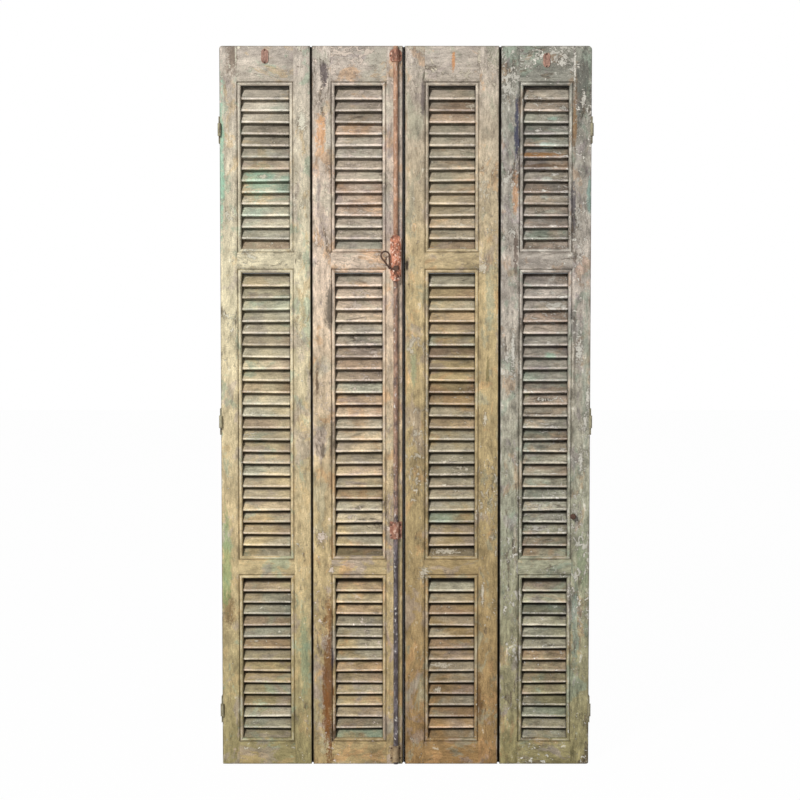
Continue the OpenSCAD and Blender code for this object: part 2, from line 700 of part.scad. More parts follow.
// Handle: spindle, hub, arm and a drop-shaped bow of round bar, with a bead where two bars meet
module bolt_handle() {
    bow_out = hub_out + hub_t / 2;
    lean = 2 * atan(bow_r / bow_rise);
    square_end = rack_out + rack_t;
    bead_share = 1.25;
    bar_r = bow_wire_r - pin_play;
    bar_l = bow_rise - bar_r / 4;
    arc_trim = 2;
    color(IRON_COLOUR) at_bolt() translate([0, 0, spindle_z]) {
        translate([0, hub_out + cut, 0]) rotate([90, 0, 0])
            cylinder(h = hub_out + cut - square_end, r = spindle_r);
        outwards(rack_out, square_end + cut) square(spindle_square, center = true);
        translate([0, hub_out + hub_t, 0]) rotate([90, 0, 0]) cylinder(h = hub_t, r = hub_r);
        translate([-bow_side, bow_out, 0]) {
            rotate([0, 90, 0]) cylinder(h = bow_side, r = bow_wire_r);
            sphere(r = bead_share * bow_wire_r);
            cylinder(h = bar_l, r = bow_wire_r);
            translate([0, 0, bow_rise]) sphere(r = bead_share * bow_wire_r);
            rotate([0, -lean, 0]) {
                cylinder(h = bar_l, r = bar_r);
                translate([0, 0, bow_rise]) sphere(r = bead_share * bow_wire_r);
            }
            translate([-bow_r, 0, bow_rise]) rotate([90, 0, 0]) rotate(arc_trim)
                rotate_extrude(angle = 180 + lean - 2 * arc_trim)
                    translate([bow_r, 0]) circle(r = bow_wire_r);
        }
    }
}

// Guide: a plate on the leaf with a barrel around the rod
module rod_guide(size, z) {
    at_bolt(z) difference() {
        union() {
            outwards(seat_gap, guide_plate_t) square(size, center = true);
            translate([0, rod_out, -size[1] / 2]) cylinder(h = size[1], r = rod_r + rod_play + guide_wall);
        }
        translate([0, rod_out, -size[1]]) cylinder(h = 2 * size[1], r = rod_r + rod_play);
        translate([-size[0], -leaf_t + seat_gap, -size[1]]) cube([2 * size[0], leaf_t, 2 * size[1]]);
    }
}

module top_rod_guide() {
    color(RUST_COLOUR) rod_guide(top_guide, leaf_h - top_guide_drop);
}

module lower_rod_guide() {
    color(RUST_COLOUR) rod_guide(lower_guide, lower_mid_z + lower_guide_rise);
}

module bottom_rod_guide() {
    color(FRAME_COLOURS[INNER_LEFT]) rod_guide(bottom_guide, bottom_guide_z);
}

// Oval ring plate in the middle of a top rail
module eye_plate(i, drop) {
    inner = eye_plate - 2 * [eye_rim_w, eye_rim_w];
    middle_x = (sight_left(i) + sight_right(i)) / 2;
    color(RUST_COLOUR) translate([middle_x, front_y, leaf_h - drop]) mirror([0, 1, 0])
        outwards(seat_gap, eye_plate_t) difference() {
            oval(eye_plate);
            oval(inner);
        }
}

module oval(size) {
    rise = (size[1] - size[0]) / 2;
    translate([-size[0] / 2, -rise]) square([size[0], 2 * rise]);
    for (side = [-1, 1]) translate([0, side * rise]) circle(d = size[0]);
}

// Turned knob: a neck and a flattened ball
module outer_right_knob() {
    ball_r = knob_d / 2;
    neck_r = knob_d / 4;
    knob_z = lower_mid_z + knob_rise;
    color(IRON_COLOUR) translate([leaf_right(OUTER_RIGHT) - knob_inset, front_y - seat_gap, knob_z])
        rotate([90, 0, 0]) intersection() {
            rotate_extrude() {
                square([neck_r, knob_l - ball_r]);
                intersection() {
                    translate([0, knob_l - ball_r]) circle(r = ball_r);
                    square([ball_r, knob_l]);
                }
            }
            cylinder(h = knob_l - ball_r / 4, r = knob_d);
        }
}

for (i = [OUTER_LEFT : OUTER_RIGHT]) {
    left_stile(i);
    right_stile(i);
    leaf_rail(i, TOP_RAIL);
    leaf_rail(i, UPPER_MID_RAIL);
    leaf_rail(i, LOWER_MID_RAIL);
    leaf_rail(i, BOTTOM_RAIL);
    slats(i);
    pegs(i);
}
jamb_hinge_halves(false);  // left_jamb_hinge_halves
leaf_hinge_halves(false);  // outer_left_hinge_halves
jamb_hinge_halves(true);  // right_jamb_hinge_halves
leaf_hinge_halves(true);  // outer_right_hinge_halves
outer_fold_flaps(false);  // outer_left_fold_flaps
inner_fold_flaps(false);  // inner_left_fold_flaps
fold_pins(false);  // left_fold_pins
outer_fold_flaps(true);  // outer_right_fold_flaps
inner_fold_flaps(true);  // inner_right_fold_flaps
fold_pins(true);  // right_fold_pins
bolt_case();
bolt_handle();
bolt_pinion();
upper_rod();
lower_rod();
top_rod_guide();
lower_rod_guide();
bottom_rod_guide();
eye_plate(OUTER_LEFT, left_eye_drop);  // outer_left_eye_plate
eye_plate(OUTER_RIGHT, right_eye_drop);  // outer_right_eye_plate
outer_right_knob();
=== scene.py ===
# %% [markdown]
# # Dressing a set of old louvred shutters
# The CAD model gives four wooden leaves, their hinges and a sliding bolt, all at their real size.
# This lesson loads it as a fixed frame and adds what years outdoors add: worn edges, many coats of
# flaking paint, rust, nail heads and the cast ornament of the bolt.

# %% Load the frame
import json
import math
import random
import types

import bmesh
import bpy
from mathutils import Matrix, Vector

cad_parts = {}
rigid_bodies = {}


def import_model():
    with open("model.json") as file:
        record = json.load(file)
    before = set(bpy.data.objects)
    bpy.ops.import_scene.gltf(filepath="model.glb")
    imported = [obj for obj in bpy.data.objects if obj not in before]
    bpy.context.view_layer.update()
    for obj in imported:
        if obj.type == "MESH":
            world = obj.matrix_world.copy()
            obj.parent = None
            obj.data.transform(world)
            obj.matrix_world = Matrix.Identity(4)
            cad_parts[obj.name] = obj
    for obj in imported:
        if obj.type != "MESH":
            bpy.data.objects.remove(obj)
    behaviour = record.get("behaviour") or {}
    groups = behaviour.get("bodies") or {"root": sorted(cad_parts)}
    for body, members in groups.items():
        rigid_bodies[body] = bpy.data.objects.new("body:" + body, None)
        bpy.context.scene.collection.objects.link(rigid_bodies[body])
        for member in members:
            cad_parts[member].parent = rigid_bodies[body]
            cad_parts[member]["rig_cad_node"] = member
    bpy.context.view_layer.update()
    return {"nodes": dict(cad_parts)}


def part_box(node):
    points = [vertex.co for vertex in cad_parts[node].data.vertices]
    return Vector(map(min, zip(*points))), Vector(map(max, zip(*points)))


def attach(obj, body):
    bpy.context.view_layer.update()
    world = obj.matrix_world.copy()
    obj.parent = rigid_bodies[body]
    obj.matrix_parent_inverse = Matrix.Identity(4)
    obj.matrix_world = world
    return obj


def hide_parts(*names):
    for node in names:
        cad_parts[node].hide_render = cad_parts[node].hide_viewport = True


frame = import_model()
scene = bpy.context.scene
scene.view_settings.view_transform = "Standard"
bpy.ops.object.select_all(action="DESELECT")
chance = random.Random(7)
LEAVES = ["outer_left", "inner_left", "inner_right", "outer_right"]
front_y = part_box("outer_left_top_rail")[0].y
back_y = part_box("outer_left_top_rail")[1].y
print(len(frame["nodes"]), "CAD nodes; the leaves' faces lie at", round(front_y, 4), round(back_y, 4))

# %% [markdown]
# ## A small kit for layered finishes
# Old paint is a stack of layers, and each layer shows where a mask lets it. Most of these helpers add
# one or two nodes and hand back a socket, so a finish can be written like a recipe. Every pattern
# reads Object coordinates, because all pieces sit at the origin of one frame.

# %% Single nodes
def paint(red, green, blue):
    """A colour as a paint chart gives it, 0 to 255, turned into the linear value that shaders use."""
    shares = [channel / 255 for channel in (red, green, blue)]
    linear = [((c + 0.055) / 1.055) ** 2.4 if c > 0.04045 else c / 12.92 for c in shares]
    return (*linear, 1.0)

def add(tree, kind, inputs, **settings):
    """A new node: inputs are linked where they are sockets and set where they are values."""
    node = tree.nodes.new(kind)
    for name, value in settings.items():
        setattr(node, name, value)
    for key, value in inputs.items():
        if isinstance(value, bpy.types.NodeSocket):
            tree.links.new(value, node.inputs[key])
        else:
            node.inputs[key].default_value = value
    return node

def math_of(tree, operation, a, b=0.0):
    return add(tree, "ShaderNodeMath", {0: a, 1: b}, operation=operation).outputs[0]

def spread(tree, place, scale, shift):
    """Coordinates drawn out and moved; a scale below 1 stretches a pattern along that axis."""
    return add(tree, "ShaderNodeMapping", {"Vector": place, "Scale": scale, "Location": shift}).outputs[0]

def clouds(tree, place, size, detail, rough, warp=0.0):
    inputs = {"Vector": place, "Scale": size, "Detail": detail, "Roughness": rough, "Distortion": warp}
    return add(tree, "ShaderNodeTexNoise", inputs).outputs["Fac"]

def between(tree, value, low, high):
    """A mask that runs smoothly from 0 at low to 1 at high; high may lie below low."""
    inputs = {"Value": value, "From Min": low, "From Max": high}
    return add(tree, "ShaderNodeMapRange", inputs, interpolation_type="SMOOTHSTEP").outputs[0]

def layer(tree, mask, under, over, mode="MIX"):
    node = add(tree, "ShaderNodeMix", {0: mask, 6: under, 7: over}, data_type="RGBA", blend_type=mode)
    return node.outputs[2]

def shades(tree, value, stops):
    """A colour ramp with a stop for each (place, colour)."""
    node = add(tree, "ShaderNodeValToRGB", {"Fac": value})
    ramp = node.color_ramp
    while len(ramp.elements) < len(stops):
        ramp.elements.new(0.5)
    for element, (place, colour) in zip(ramp.elements, sorted(stops)):
        element.position = place
        element.color = colour
    return node.outputs["Color"]

def grey(level):
    return (level, level, level, 1.0)

print("a mid grey of the paint chart is", [round(c, 3) for c in paint(128, 128, 128)])

# %% Layers and masks
AS_IT_IS = (1, 1, 1)

def times(tree, value, share):
    return math_of(tree, "MULTIPLY", value, share)

def plus(tree, value, more):
    return math_of(tree, "ADD", value, more)

def push(tree, noise, reach):
    """A noise around 0.5 turned into a push around zero, to be added to another value."""
    return times(tree, math_of(tree, "SUBTRACT", noise, 0.5), reach)

def tint(tree, colour, mask, share, coat):
    """Lay a coat over a colour where a mask lets it."""
    return layer(tree, times(tree, mask, share), colour, paint(*coat))

def shade(tree, colour, value, levels):
    """Darken or lighten a colour by a ramp of greys."""
    greys = shades(tree, value, [(place, grey(level)) for place, level in levels])
    return layer(tree, 1.0, colour, greys, "MULTIPLY")

def new_finish(name):
    """An empty material, its node tree, its shader and the coordinates that its patterns read."""
    finish = bpy.data.materials.new(name)
    finish.use_nodes = True
    tree = finish.node_tree
    place = add(tree, "ShaderNodeTexCoord", {}).outputs["Object"]
    axes = add(tree, "ShaderNodeSeparateXYZ", {"Vector": place}).outputs
    return finish, tree, tree.nodes["Principled BSDF"], place, axes

def roughen(tree, skin, relief, distance):
    """Raise and lower the surface of a shader by a relief."""
    bump = add(tree, "ShaderNodeBump", {"Height": relief, "Strength": 0.7, "Distance": distance})
    tree.links.new(bump.outputs["Normal"], skin.inputs["Normal"])

print("layer helpers ready")

# %% [markdown]
# ## Camera, light and floor
# The shutters are seen straight on from about five metres, a little above their middle, with a long
# lens. A soft lamp stands high on the left, and an even sky fills the shadows. The floor and the sky
# show white to the camera, while the floor keeps a little of the object's shadow.

# %% Camera
CAMERA_AWAY = 5.0
CAMERA_SIDE = -0.017
CAMERA_RISE = 1.357
CAMERA_DIP = math.radians(2.76)
bpy.ops.object.camera_add(location=(CAMERA_SIDE, front_y - CAMERA_AWAY, CAMERA_RISE),
                          rotation=(math.pi / 2 - CAMERA_DIP, 0, 0))
camera = bpy.context.object
camera.data.sensor_width = 36
camera.data.lens = 74.3
scene.camera = camera
print("camera", tuple(round(v, 3) for v in camera.location))

# %% Lamp
LAMP_AWAY = 12.0
LAMP_SIDE = math.radians(-27)
LAMP_RISE = math.radians(27)
LAMP_AIM_Z = 1.1
lamp_place = (LAMP_AWAY * math.sin(LAMP_SIDE) * math.cos(LAMP_RISE),
              -LAMP_AWAY * math.cos(LAMP_SIDE) * math.cos(LAMP_RISE),
              LAMP_AIM_Z + LAMP_AWAY * math.sin(LAMP_RISE))
bpy.ops.object.light_add(type="AREA", location=lamp_place,
                         rotation=(math.pi / 2 - LAMP_RISE, 0, LAMP_SIDE))
lamp = bpy.context.object
lamp.data.size = 1.3
lamp.data.energy = 1210
lamp.data.color = (1.0, 0.99, 0.955)
print("lamp at", [round(v, 2) for v in lamp_place])

# %% Sky
SKY_FILL = 0.2

def white_to_camera(tree, others):
    """A strength that is 1 for what the camera or a gloss sees, and another value for the light."""
    rays = add(tree, "ShaderNodeLightPath", {}).outputs
    seen = math_of(tree, "MAXIMUM", rays["Is Camera Ray"], rays["Is Glossy Ray"])
    seen = math_of(tree, "MAXIMUM", seen, rays["Is Transmission Ray"])
    return add(tree, "ShaderNodeMapRange", {"Value": seen, "To Min": others, "To Max": 1.0}).outputs[0]

sky = bpy.data.worlds.new("studio_sky")
scene.world = sky
sky.use_nodes = True
sky_light = sky.node_tree.nodes["Background"]
sky_light.inputs["Color"].default_value = grey(1.0)
sky.node_tree.links.new(white_to_camera(sky.node_tree, SKY_FILL), sky_light.inputs["Strength"])
print("sky fills the shadows with", SKY_FILL)

# %% Floor
FLOOR_SIZE = 40
FLOOR_DROP = 0.0005
FLOOR_WHITE = 0.985
bpy.ops.mesh.primitive_plane_add(size=FLOOR_SIZE, location=(0, 0, -FLOOR_DROP))
floor = bpy.context.object
floor.name = "studio_floor"
pale_floor = bpy.data.materials.new("pale_floor")
pale_floor.use_nodes = True
tree = pale_floor.node_tree
ground = tree.nodes["Principled BSDF"]
ground.inputs["Base Color"].default_value = grey(0.86)
ground.inputs["Roughness"].default_value = 0.9
ground.inputs["Specular IOR Level"].default_value = 0.0
glow = add(tree, "ShaderNodeEmission", {"Strength": 1.0}).outputs[0]
rays = add(tree, "ShaderNodeLightPath", {}).outputs
white_share = times(tree, rays["Is Camera Ray"], FLOOR_WHITE)
mixed = add(tree, "ShaderNodeMixShader", {"Fac": white_share, 1: ground.outputs[0], 2: glow})
tree.links.new(mixed.outputs[0], tree.nodes["Material Output"].inputs["Surface"])
floor.data.materials.append(pale_floor)
print("floor of", FLOOR_SIZE, "m")

# %% [markdown]
# ## Where dirt and wear gather
# Dirt settles in the fine groove beside each bead, and hands and rain wear the leaf's edges. Both
# depend on how far a place lies from a line, so two helpers measure it: one from the groove around
# the nearest louvred opening, one from the edge of the leaf.

# %% Distances on a leaf
LEAF_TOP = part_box("outer_left_left_stile")[1].z
QUIRK_MIDDLE = 0.01075
# left and right edge of each leaf's front face
LEAF_SIDES = {"outer_left": (-0.5595, -0.2875), "inner_left": (-0.2815, -0.0095),
              "inner_right": (-0.0015, 0.2805), "outer_right": (0.2875, 0.5595)}

def sight(leaf):
    """Left and right edge of the louvred openings of a leaf."""
    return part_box(f"{leaf}_left_stile")[1].x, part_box(f"{leaf}_right_stile")[0].x

def openings(leaf):
    """Bottom and top of each louvred opening of a leaf, from the floor up."""
    rails = [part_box(f"{leaf}_{rail}_rail") for rail in ("bottom", "lower_mid", "upper_mid", "top")]
    return [(below[1].z, above[0].z) for below, above in zip(rails, rails[1:])]

def off_middle(tree, value, low, high, extra=0.0):
    """How far a value lies outside the span from low to high; negative inside it."""
    away = math_of(tree, "ABSOLUTE", math_of(tree, "SUBTRACT", value, (low + high) / 2))
    return math_of(tree, "SUBTRACT", away, (high - low) / 2 + extra)

def groove_reach(tree, axes, leaf):
    """Distance from the groove around the nearest opening; negative on the bead and inside it."""
    across = off_middle(tree, axes["X"], *sight(leaf), QUIRK_MIDDLE)
    boxes = [math_of(tree, "MAXIMUM", across, off_middle(tree, axes["Z"], low, high, QUIRK_MIDDLE))
             for low, high in openings(leaf)]
    nearest = math_of(tree, "MINIMUM", boxes[0], boxes[1])
    return math_of(tree, "MINIMUM", nearest, boxes[2])

def edge_reach(tree, axes, leaf):
    """Distance from the nearest edge of the leaf, measured inwards."""
    outside = math_of(tree, "MAXIMUM", off_middle(tree, axes["X"], *LEAF_SIDES[leaf]),
                      off_middle(tree, axes["Z"], 0.0, LEAF_TOP))
    return times(tree, outside, -1.0)

for leaf in LEAVES:
    heights = [(round(low, 3), round(high, 3)) for low, high in openings(leaf)]
    print(leaf, "openings from", [round(v, 4) for v in sight(leaf)], "at", heights)

# %% [markdown]
# ## Old paint: its patterns
# Paint flakes along the grain, so most of the noises that drive it are drawn out along the board.
# Each board gets a shift of its own, or the same flakes would show on all of them. The noises run from
# clouds as wide as a hand to grit of a few millimetres, and the stack of layers reads them again and
# again, so that a flake, its dark edge and its step in height all lie at the same place.

# %% Noises of a board
LONG_GRAIN = 0.26
HALF_GRAIN = 0.6

def along_grain(grain, stretch):
    return (1, 1, stretch) if grain == "Z" else (stretch, 1, 1)

def board_noises(tree, place, grain, shift):
    """The patterns of one board; clouds takes size, detail, roughness and warp."""
    def moved(x, y, z):
        return spread(tree, place, AS_IT_IS, (x, y, z))

    long_grain = spread(tree, place, along_grain(grain, LONG_GRAIN), (shift, shift * 0.7, shift * 1.3))
    half_grain = spread(tree, place, along_grain(grain, HALF_GRAIN), (shift * 1.1, shift, shift * 0.6))
    peel_grain = spread(tree, place, along_grain(grain, HALF_GRAIN), (shift * 0.4, shift * 1.2, shift))
    return types.SimpleNamespace(
        half_grain=half_grain,
        broad=clouds(tree, half_grain, 9.0, 4.0, 0.6, 0.5),
        middling=clouds(tree, half_grain, 34.0, 7.0, 0.68, 0.3),
        ragged=clouds(tree, long_grain, 48.0, 8.0, 0.7, 0.4),
        streaks=clouds(tree, spread(tree, long_grain, AS_IT_IS, (4.1, 2.3, 1.7)), 40.0, 9.0, 0.74, 0.5),
        fine=clouds(tree, long_grain, 170.0, 6.0, 0.72),
        specks=clouds(tree, moved(shift, 0, 0), 120.0, 5.0, 0.75),
        grit=clouds(tree, moved(1.9, shift, shift), 300.0, 4.0, 0.8),
        lint=clouds(tree, moved(0, shift, 3.3), 165.0, 4.0, 0.75),
        scabs=clouds(tree, moved(shift, 5.1, 0.4), 78.0, 4.0, 0.6, 0.9),
        strips=clouds(tree, spread(tree, peel_grain, AS_IT_IS, (7.7, 1.9, 0.6)), 75.0, 6.0, 0.62, 0.9),
        gathered=clouds(tree, moved(0.3, shift, 6.1), 6.0, 3.0, 0.6))

print("grain stretches a pattern", round(1 / LONG_GRAIN, 1), "or", round(1 / HALF_GRAIN, 1), "times")

# %% [markdown]
# ## Old paint: its coats
# The colour of a board's last coat changes along its height, as the sun and rain left it. Three older
# coats show through in broad blotches. Slats take a hue and a tone of their own besides. Mottling and
# streaks follow, with more contrast on a worn leaf, and then the few large blotches of the leaf, each
# an oval whose edge is torn by noise.

# %% Last coat and older coats
def layered_coats(tree, axes, noise, leaf, coats):
    height = math_of(tree, "DIVIDE", plus(tree, axes["Z"], push(tree, noise.broad, 0.2)), LEAF_TOP)
    colour = shades(tree, height, [(z / LEAF_TOP, paint(*coat)) for z, coat in coats])
    for number, (coat, share) in enumerate(OLD_COATS[leaf]):
        own_shift = (2.7 * number + 1.3, 0.9 * number, 3.1 * number)
        showing = clouds(tree, spread(tree, noise.half_grain, AS_IT_IS, own_shift), 13.0, 8.0, 0.68, 0.5)
        colour = tint(tree, colour, between(tree, showing, 0.55, 0.60), share, coat)
    return colour

# from mint over grey, buff and pink to brown, and a bleached one
SLAT_HUES = [(0.0, (150, 180, 160)), (0.12, (176, 174, 158)), (0.45, (166, 156, 136)),
             (0.72, (170, 148, 130)), (0.9, (160, 128, 98)), (1.0, (196, 188, 166))]

def slat_colours(tree, noise, colour):
    """Each slat's own hue and tone, read from the two attributes that are stored on it."""
    tone = add(tree, "ShaderNodeAttribute", {}, attribute_name="slat_tone").outputs["Fac"]
    hue = add(tree, "ShaderNodeAttribute", {}, attribute_name="slat_hue").outputs["Fac"]
    own_hue = shades(tree, hue, [(place, paint(*coat)) for place, coat in SLAT_HUES])
    colour = layer(tree, times(tree, between(tree, noise.broad, 0.36, 0.58), 0.65), colour, own_hue)
    own_tone = add(tree, "ShaderNodeCombineColor", {0: tone, 1: tone, 2: tone}).outputs[0]
    return layer(tree, 1.0, colour, own_tone, "MULTIPLY")

print(len(SLAT_HUES), "hues for slats")

# %% Mottling and blotches
MOTTLING = [(0.30, 0.62), (0.42, 0.86), (0.51, 1.0), (0.62, 1.14), (0.74, 1.4)]
STREAKING = [(0.30, 0.62), (0.44, 0.91), (0.55, 1.04), (0.75, 1.32)]

def mottled(tree, noise, colour, wear):
    contrast = 0.75 + 0.95 * wear
    for pattern, levels in ((noise.middling, MOTTLING), (noise.ragged, STREAKING)):
        colour = shade(tree, colour, pattern, [(place, level ** contrast) for place, level in levels])
    return colour

def patch_reach(tree, axes, rough, patch):
    """How far a place lies from a patch: below 1 in an oval whose edge is torn by a rough noise."""
    centre_x, centre_z, reach_x, reach_z = patch
    across = math_of(tree, "DIVIDE", math_of(tree, "SUBTRACT", axes["X"], centre_x), reach_x)
    upward = math_of(tree, "DIVIDE", math_of(tree, "SUBTRACT", axes["Z"], centre_z), reach_z)
    square = plus(tree, times(tree, across, across), times(tree, upward, upward))
    return plus(tree, math_of(tree, "SQRT", square), rough)

def blotched(tree, axes, noise, colour, leaf):
    torn = plus(tree, push(tree, noise.ragged, 2.4), push(tree, noise.specks, 2.2))
    for patch, coat, strength in BLOTCHES[leaf]:
        inside = between(tree, patch_reach(tree, axes, torn, patch), 1.1, 0.45)
        colour = tint(tree, colour, inside, strength, coat)
    return colour

print("mottling runs from", MOTTLING[0][1], "to", MOTTLING[-1][1])

# %% [markdown]
# ## Old paint: its wear
# Where the paint has gone, an undercoat or the grey wood shows. Small flakes gather at the leaf's
# edges, bare wood runs along the grain, and larger scabs and strips lift with a dark line around them.
# The largest chips are placed one by one. Each mask begins where a noise passes a limit, and wear lowers
# that limit, so one recipe serves all four leaves.

# %% Flakes, bare wood and specks
# colour and share of each kind of dirt, and of the painted shade in grooves, gaps, slat ends and under
# slats
DIRT_AND_SHADE = {"speck": ((62, 50, 42), 0.7), "scab": ((70, 58, 48), 0.5), "peel": ((72, 61, 53), 0.5),
        "chip": ((72, 60, 50), 0.5), "groove": ((80, 66, 52), 0.3), "groove_shade": ((58, 47, 39), 0.12),
        "rim": ((64, 54, 46), 0.65), "slat_shadow": ((26, 21, 17), 0.85),
        "slat_end_shade": ((52, 44, 38), 0.6), "gap": ((24, 19, 15), 0.88)}
# how much of the undercoat each kind of wear shows; on the bead's crest it also serves as a painted
# highlight
UNDERCOAT_SHARE = {"flake": 0.6, "lint": 0.8, "scab": 0.9, "crest": 0.35}
BARE_WOOD = [(0.32, (58, 49, 42)), (0.5, (98, 86, 72)), (0.68, (140, 124, 104))]
BARE_SHARE = 0.75
GRAIN_SHADING = [(0.28, 0.58), (0.42, 0.9), (0.5, 1.0), (0.72, 1.3)]
GRIT_SHADING = [(0.32, 0.66), (0.5, 1.0), (0.68, 1.36)]

def lay_dirt_or_shade(tree, colour, mask, kind):
    """Lay one kind of dirt, or of painted shade, over a colour where a mask lets it."""
    coat, share = DIRT_AND_SHADE[kind]
    return tint(tree, colour, mask, share, coat)

def show_undercoat(tree, colour, mask, kind, leaf):
    return tint(tree, colour, mask, UNDERCOAT_SHARE[kind], UNDERCOATS[leaf])

def past(tree, value, low, high, wear, ease):
    """A mask from low to high; wear lowers both, by its share of ease."""
    return between(tree, value, low - ease * wear, high - ease * wear)

def flaked(tree, noise, colour, leaf, wear, edge):
    near_edge = between(tree, plus(tree, edge, times(tree, noise.middling, 0.008)), 0.010, 0.004)
    flake = past(tree, plus(tree, noise.middling, times(tree, near_edge, 0.14)), 0.665, 0.70, wear, 0.05)
    return show_undercoat(tree, colour, flake, "flake", leaf)

def bare_streaks(tree, noise, wear):
    return past(tree, plus(tree, noise.streaks, push(tree, noise.broad, 0.5)), 0.66, 0.73, wear, 0.1)

def grained(tree, noise, colour, leaf, wear, bare):
    wood = shades(tree, noise.fine, [(place, paint(*coat)) for place, coat in BARE_WOOD])
    colour = layer(tree, times(tree, bare, BARE_SHARE), colour, wood)
    colour = shade(tree, colour, noise.fine, GRAIN_SHADING)
    colour = shade(tree, colour, noise.grit, GRIT_SHADING)
    colour = lay_dirt_or_shade(tree, colour, between(tree, noise.specks, 0.655, 0.71), "speck")
    return show_undercoat(tree, colour, past(tree, noise.lint, 0.69, 0.74, wear, 0.05), "lint", leaf)

# the count takes in the kinds of painted shade as well
print(len(DIRT_AND_SHADE), "kinds of dirt")

# %% Scabs, peeling strips and chips
SUN_FROM = 1.1
SUN_PULL = 0.04
STRIP_SHARE = 0.72
CHIP_SHARE = 0.9
PALE_SHADING = [(0.34, 0.55), (0.5, 0.9), (0.66, 1.12)]

def scabbed(tree, noise, colour, leaf, wear):
    """Small lifted scabs; their mask is handed back as well, because they also sit lower."""
    lifted = plus(tree, noise.scabs, push(tree, noise.broad, 0.55))
    colour = lay_dirt_or_shade(tree, colour, past(tree, lifted, 0.665, 0.70, wear, 0.06), "scab")
    scab = past(tree, lifted, 0.70, 0.73, wear, 0.06)
    return show_undercoat(tree, colour, scab, "scab", leaf), scab

def peeled(tree, axes, noise, colour, pale, wear):
    """Strips that peel in groups, and more towards the top, where the sun reaches."""
    sun = times(tree, math_of(tree, "SUBTRACT", axes["Z"], SUN_FROM), SUN_PULL)
    strips = plus(tree, plus(tree, noise.strips, sun), push(tree, noise.gathered, 0.8))
    colour = lay_dirt_or_shade(tree, colour, past(tree, strips, 0.66, 0.72, wear, 0.09), "peel")
    peel = past(tree, strips, 0.72, 0.75, wear, 0.09)
    return layer(tree, times(tree, peel, STRIP_SHARE), colour, pale)

def chipped(tree, axes, noise, colour, pale, leaf):
    frayed = plus(tree, push(tree, noise.lint, 4.5), push(tree, noise.specks, 3.5))
    for spot in CHIPS[leaf]:
        reach = patch_reach(tree, axes, frayed, spot)
        colour = lay_dirt_or_shade(tree, colour, between(tree, reach, 1.7, 1.0), "chip")
        colour = layer(tree, times(tree, between(tree, reach, 1.0, 0.75), CHIP_SHARE), colour, pale)
    return colour

print("paint peels more above", SUN_FROM, "m")

# %% [markdown]
# ## Old paint: dirt, wear and painted light in the joinery
# Dirt darkens the groove beside each bead and the rim of each leaf, painted shade darkens the groove
# itself, and the bead's crest is rubbed pale, also as a painted highlight. A slat's nose gets a painted
# highlight, its back a painted shadow of the slat above, and its ends painted shade where they enter the
# stiles. The sides of the boards, deep in the gaps, are painted almost black as shade.

# %% Grooves, rims and gaps
BEAD_W = 0.0095
CREST_FADE = 0.003
HALO_W = 0.012
LINE_CORE = 0.0006
LINE_FADE = 0.0024

def rough_line(tree, noise):
    """A push of up to two millimetres, so that no line of dirt or of painted shade is straight."""
    return push(tree, noise.specks, 0.004)

def dirt_and_shade_in_grooves(tree, noise, colour, leaf, groove, on_frame):
    near = plus(tree, groove, rough_line(tree, noise))
    halo = times(tree, between(tree, near, HALO_W, 0.0), between(tree, near, -0.002, 0.0))
    halo = times(tree, halo, between(tree, noise.middling, 0.58, 0.4))
    colour = lay_dirt_or_shade(tree, colour, halo, "groove")
    if on_frame:
        # the crest is rubbed down to the undercoat, and the paler crest also serves as a painted highlight
        crest = times(tree, between(tree, near, -BEAD_W, CREST_FADE - BEAD_W),
                      between(tree, near, -CREST_FADE / 2, -CREST_FADE * 1.5))
        crest = times(tree, crest, between(tree, noise.middling, 0.44, 0.6))
        colour = show_undercoat(tree, colour, crest, "crest", leaf)
        # painted shade: a dark line in the groove itself, where light hardly reaches
        line = times(tree, between(tree, near, -LINE_FADE, -LINE_CORE),
                     between(tree, near, LINE_FADE, LINE_CORE))
        line = times(tree, line, between(tree, noise.middling, 0.62, 0.42))
        colour = lay_dirt_or_shade(tree, colour, line, "groove_shade")
    return colour

def dirty_rim(tree, noise, colour, edge):
    rim = between(tree, plus(tree, edge, rough_line(tree, noise)), 0.0028, 0.0008)
    return lay_dirt_or_shade(tree, colour, rim, "rim")

def paint_gap_shade(tree, colour, depth):
    """Painted shade: darken what lies between the front and the back of a leaf, on the sides of boards
    deep in the gaps.
    """
    thick = back_y - front_y
    within = times(tree, between(tree, depth, 0.0025, 0.012),
                   between(tree, depth, thick - 0.0005, thick - 0.004))
    return lay_dirt_or_shade(tree, colour, within, "gap")

print("leaves are", round(back_y - front_y, 4), "m thick")

# %% Noses, shadows and ends of slats
NOSE_HIGHLIGHT = (214, 207, 209)
NOSE_HIGHLIGHT_SHARE = 0.45
# painted light: a painted highlight at the nose and painted shade towards the back, as brightness from the
# front of the leaf, at 0, to its back, at 1
NOSE_SHADING = [(0.145, 1.75), (0.165, 1.4), (0.19, 0.9), (0.6, 0.86)]

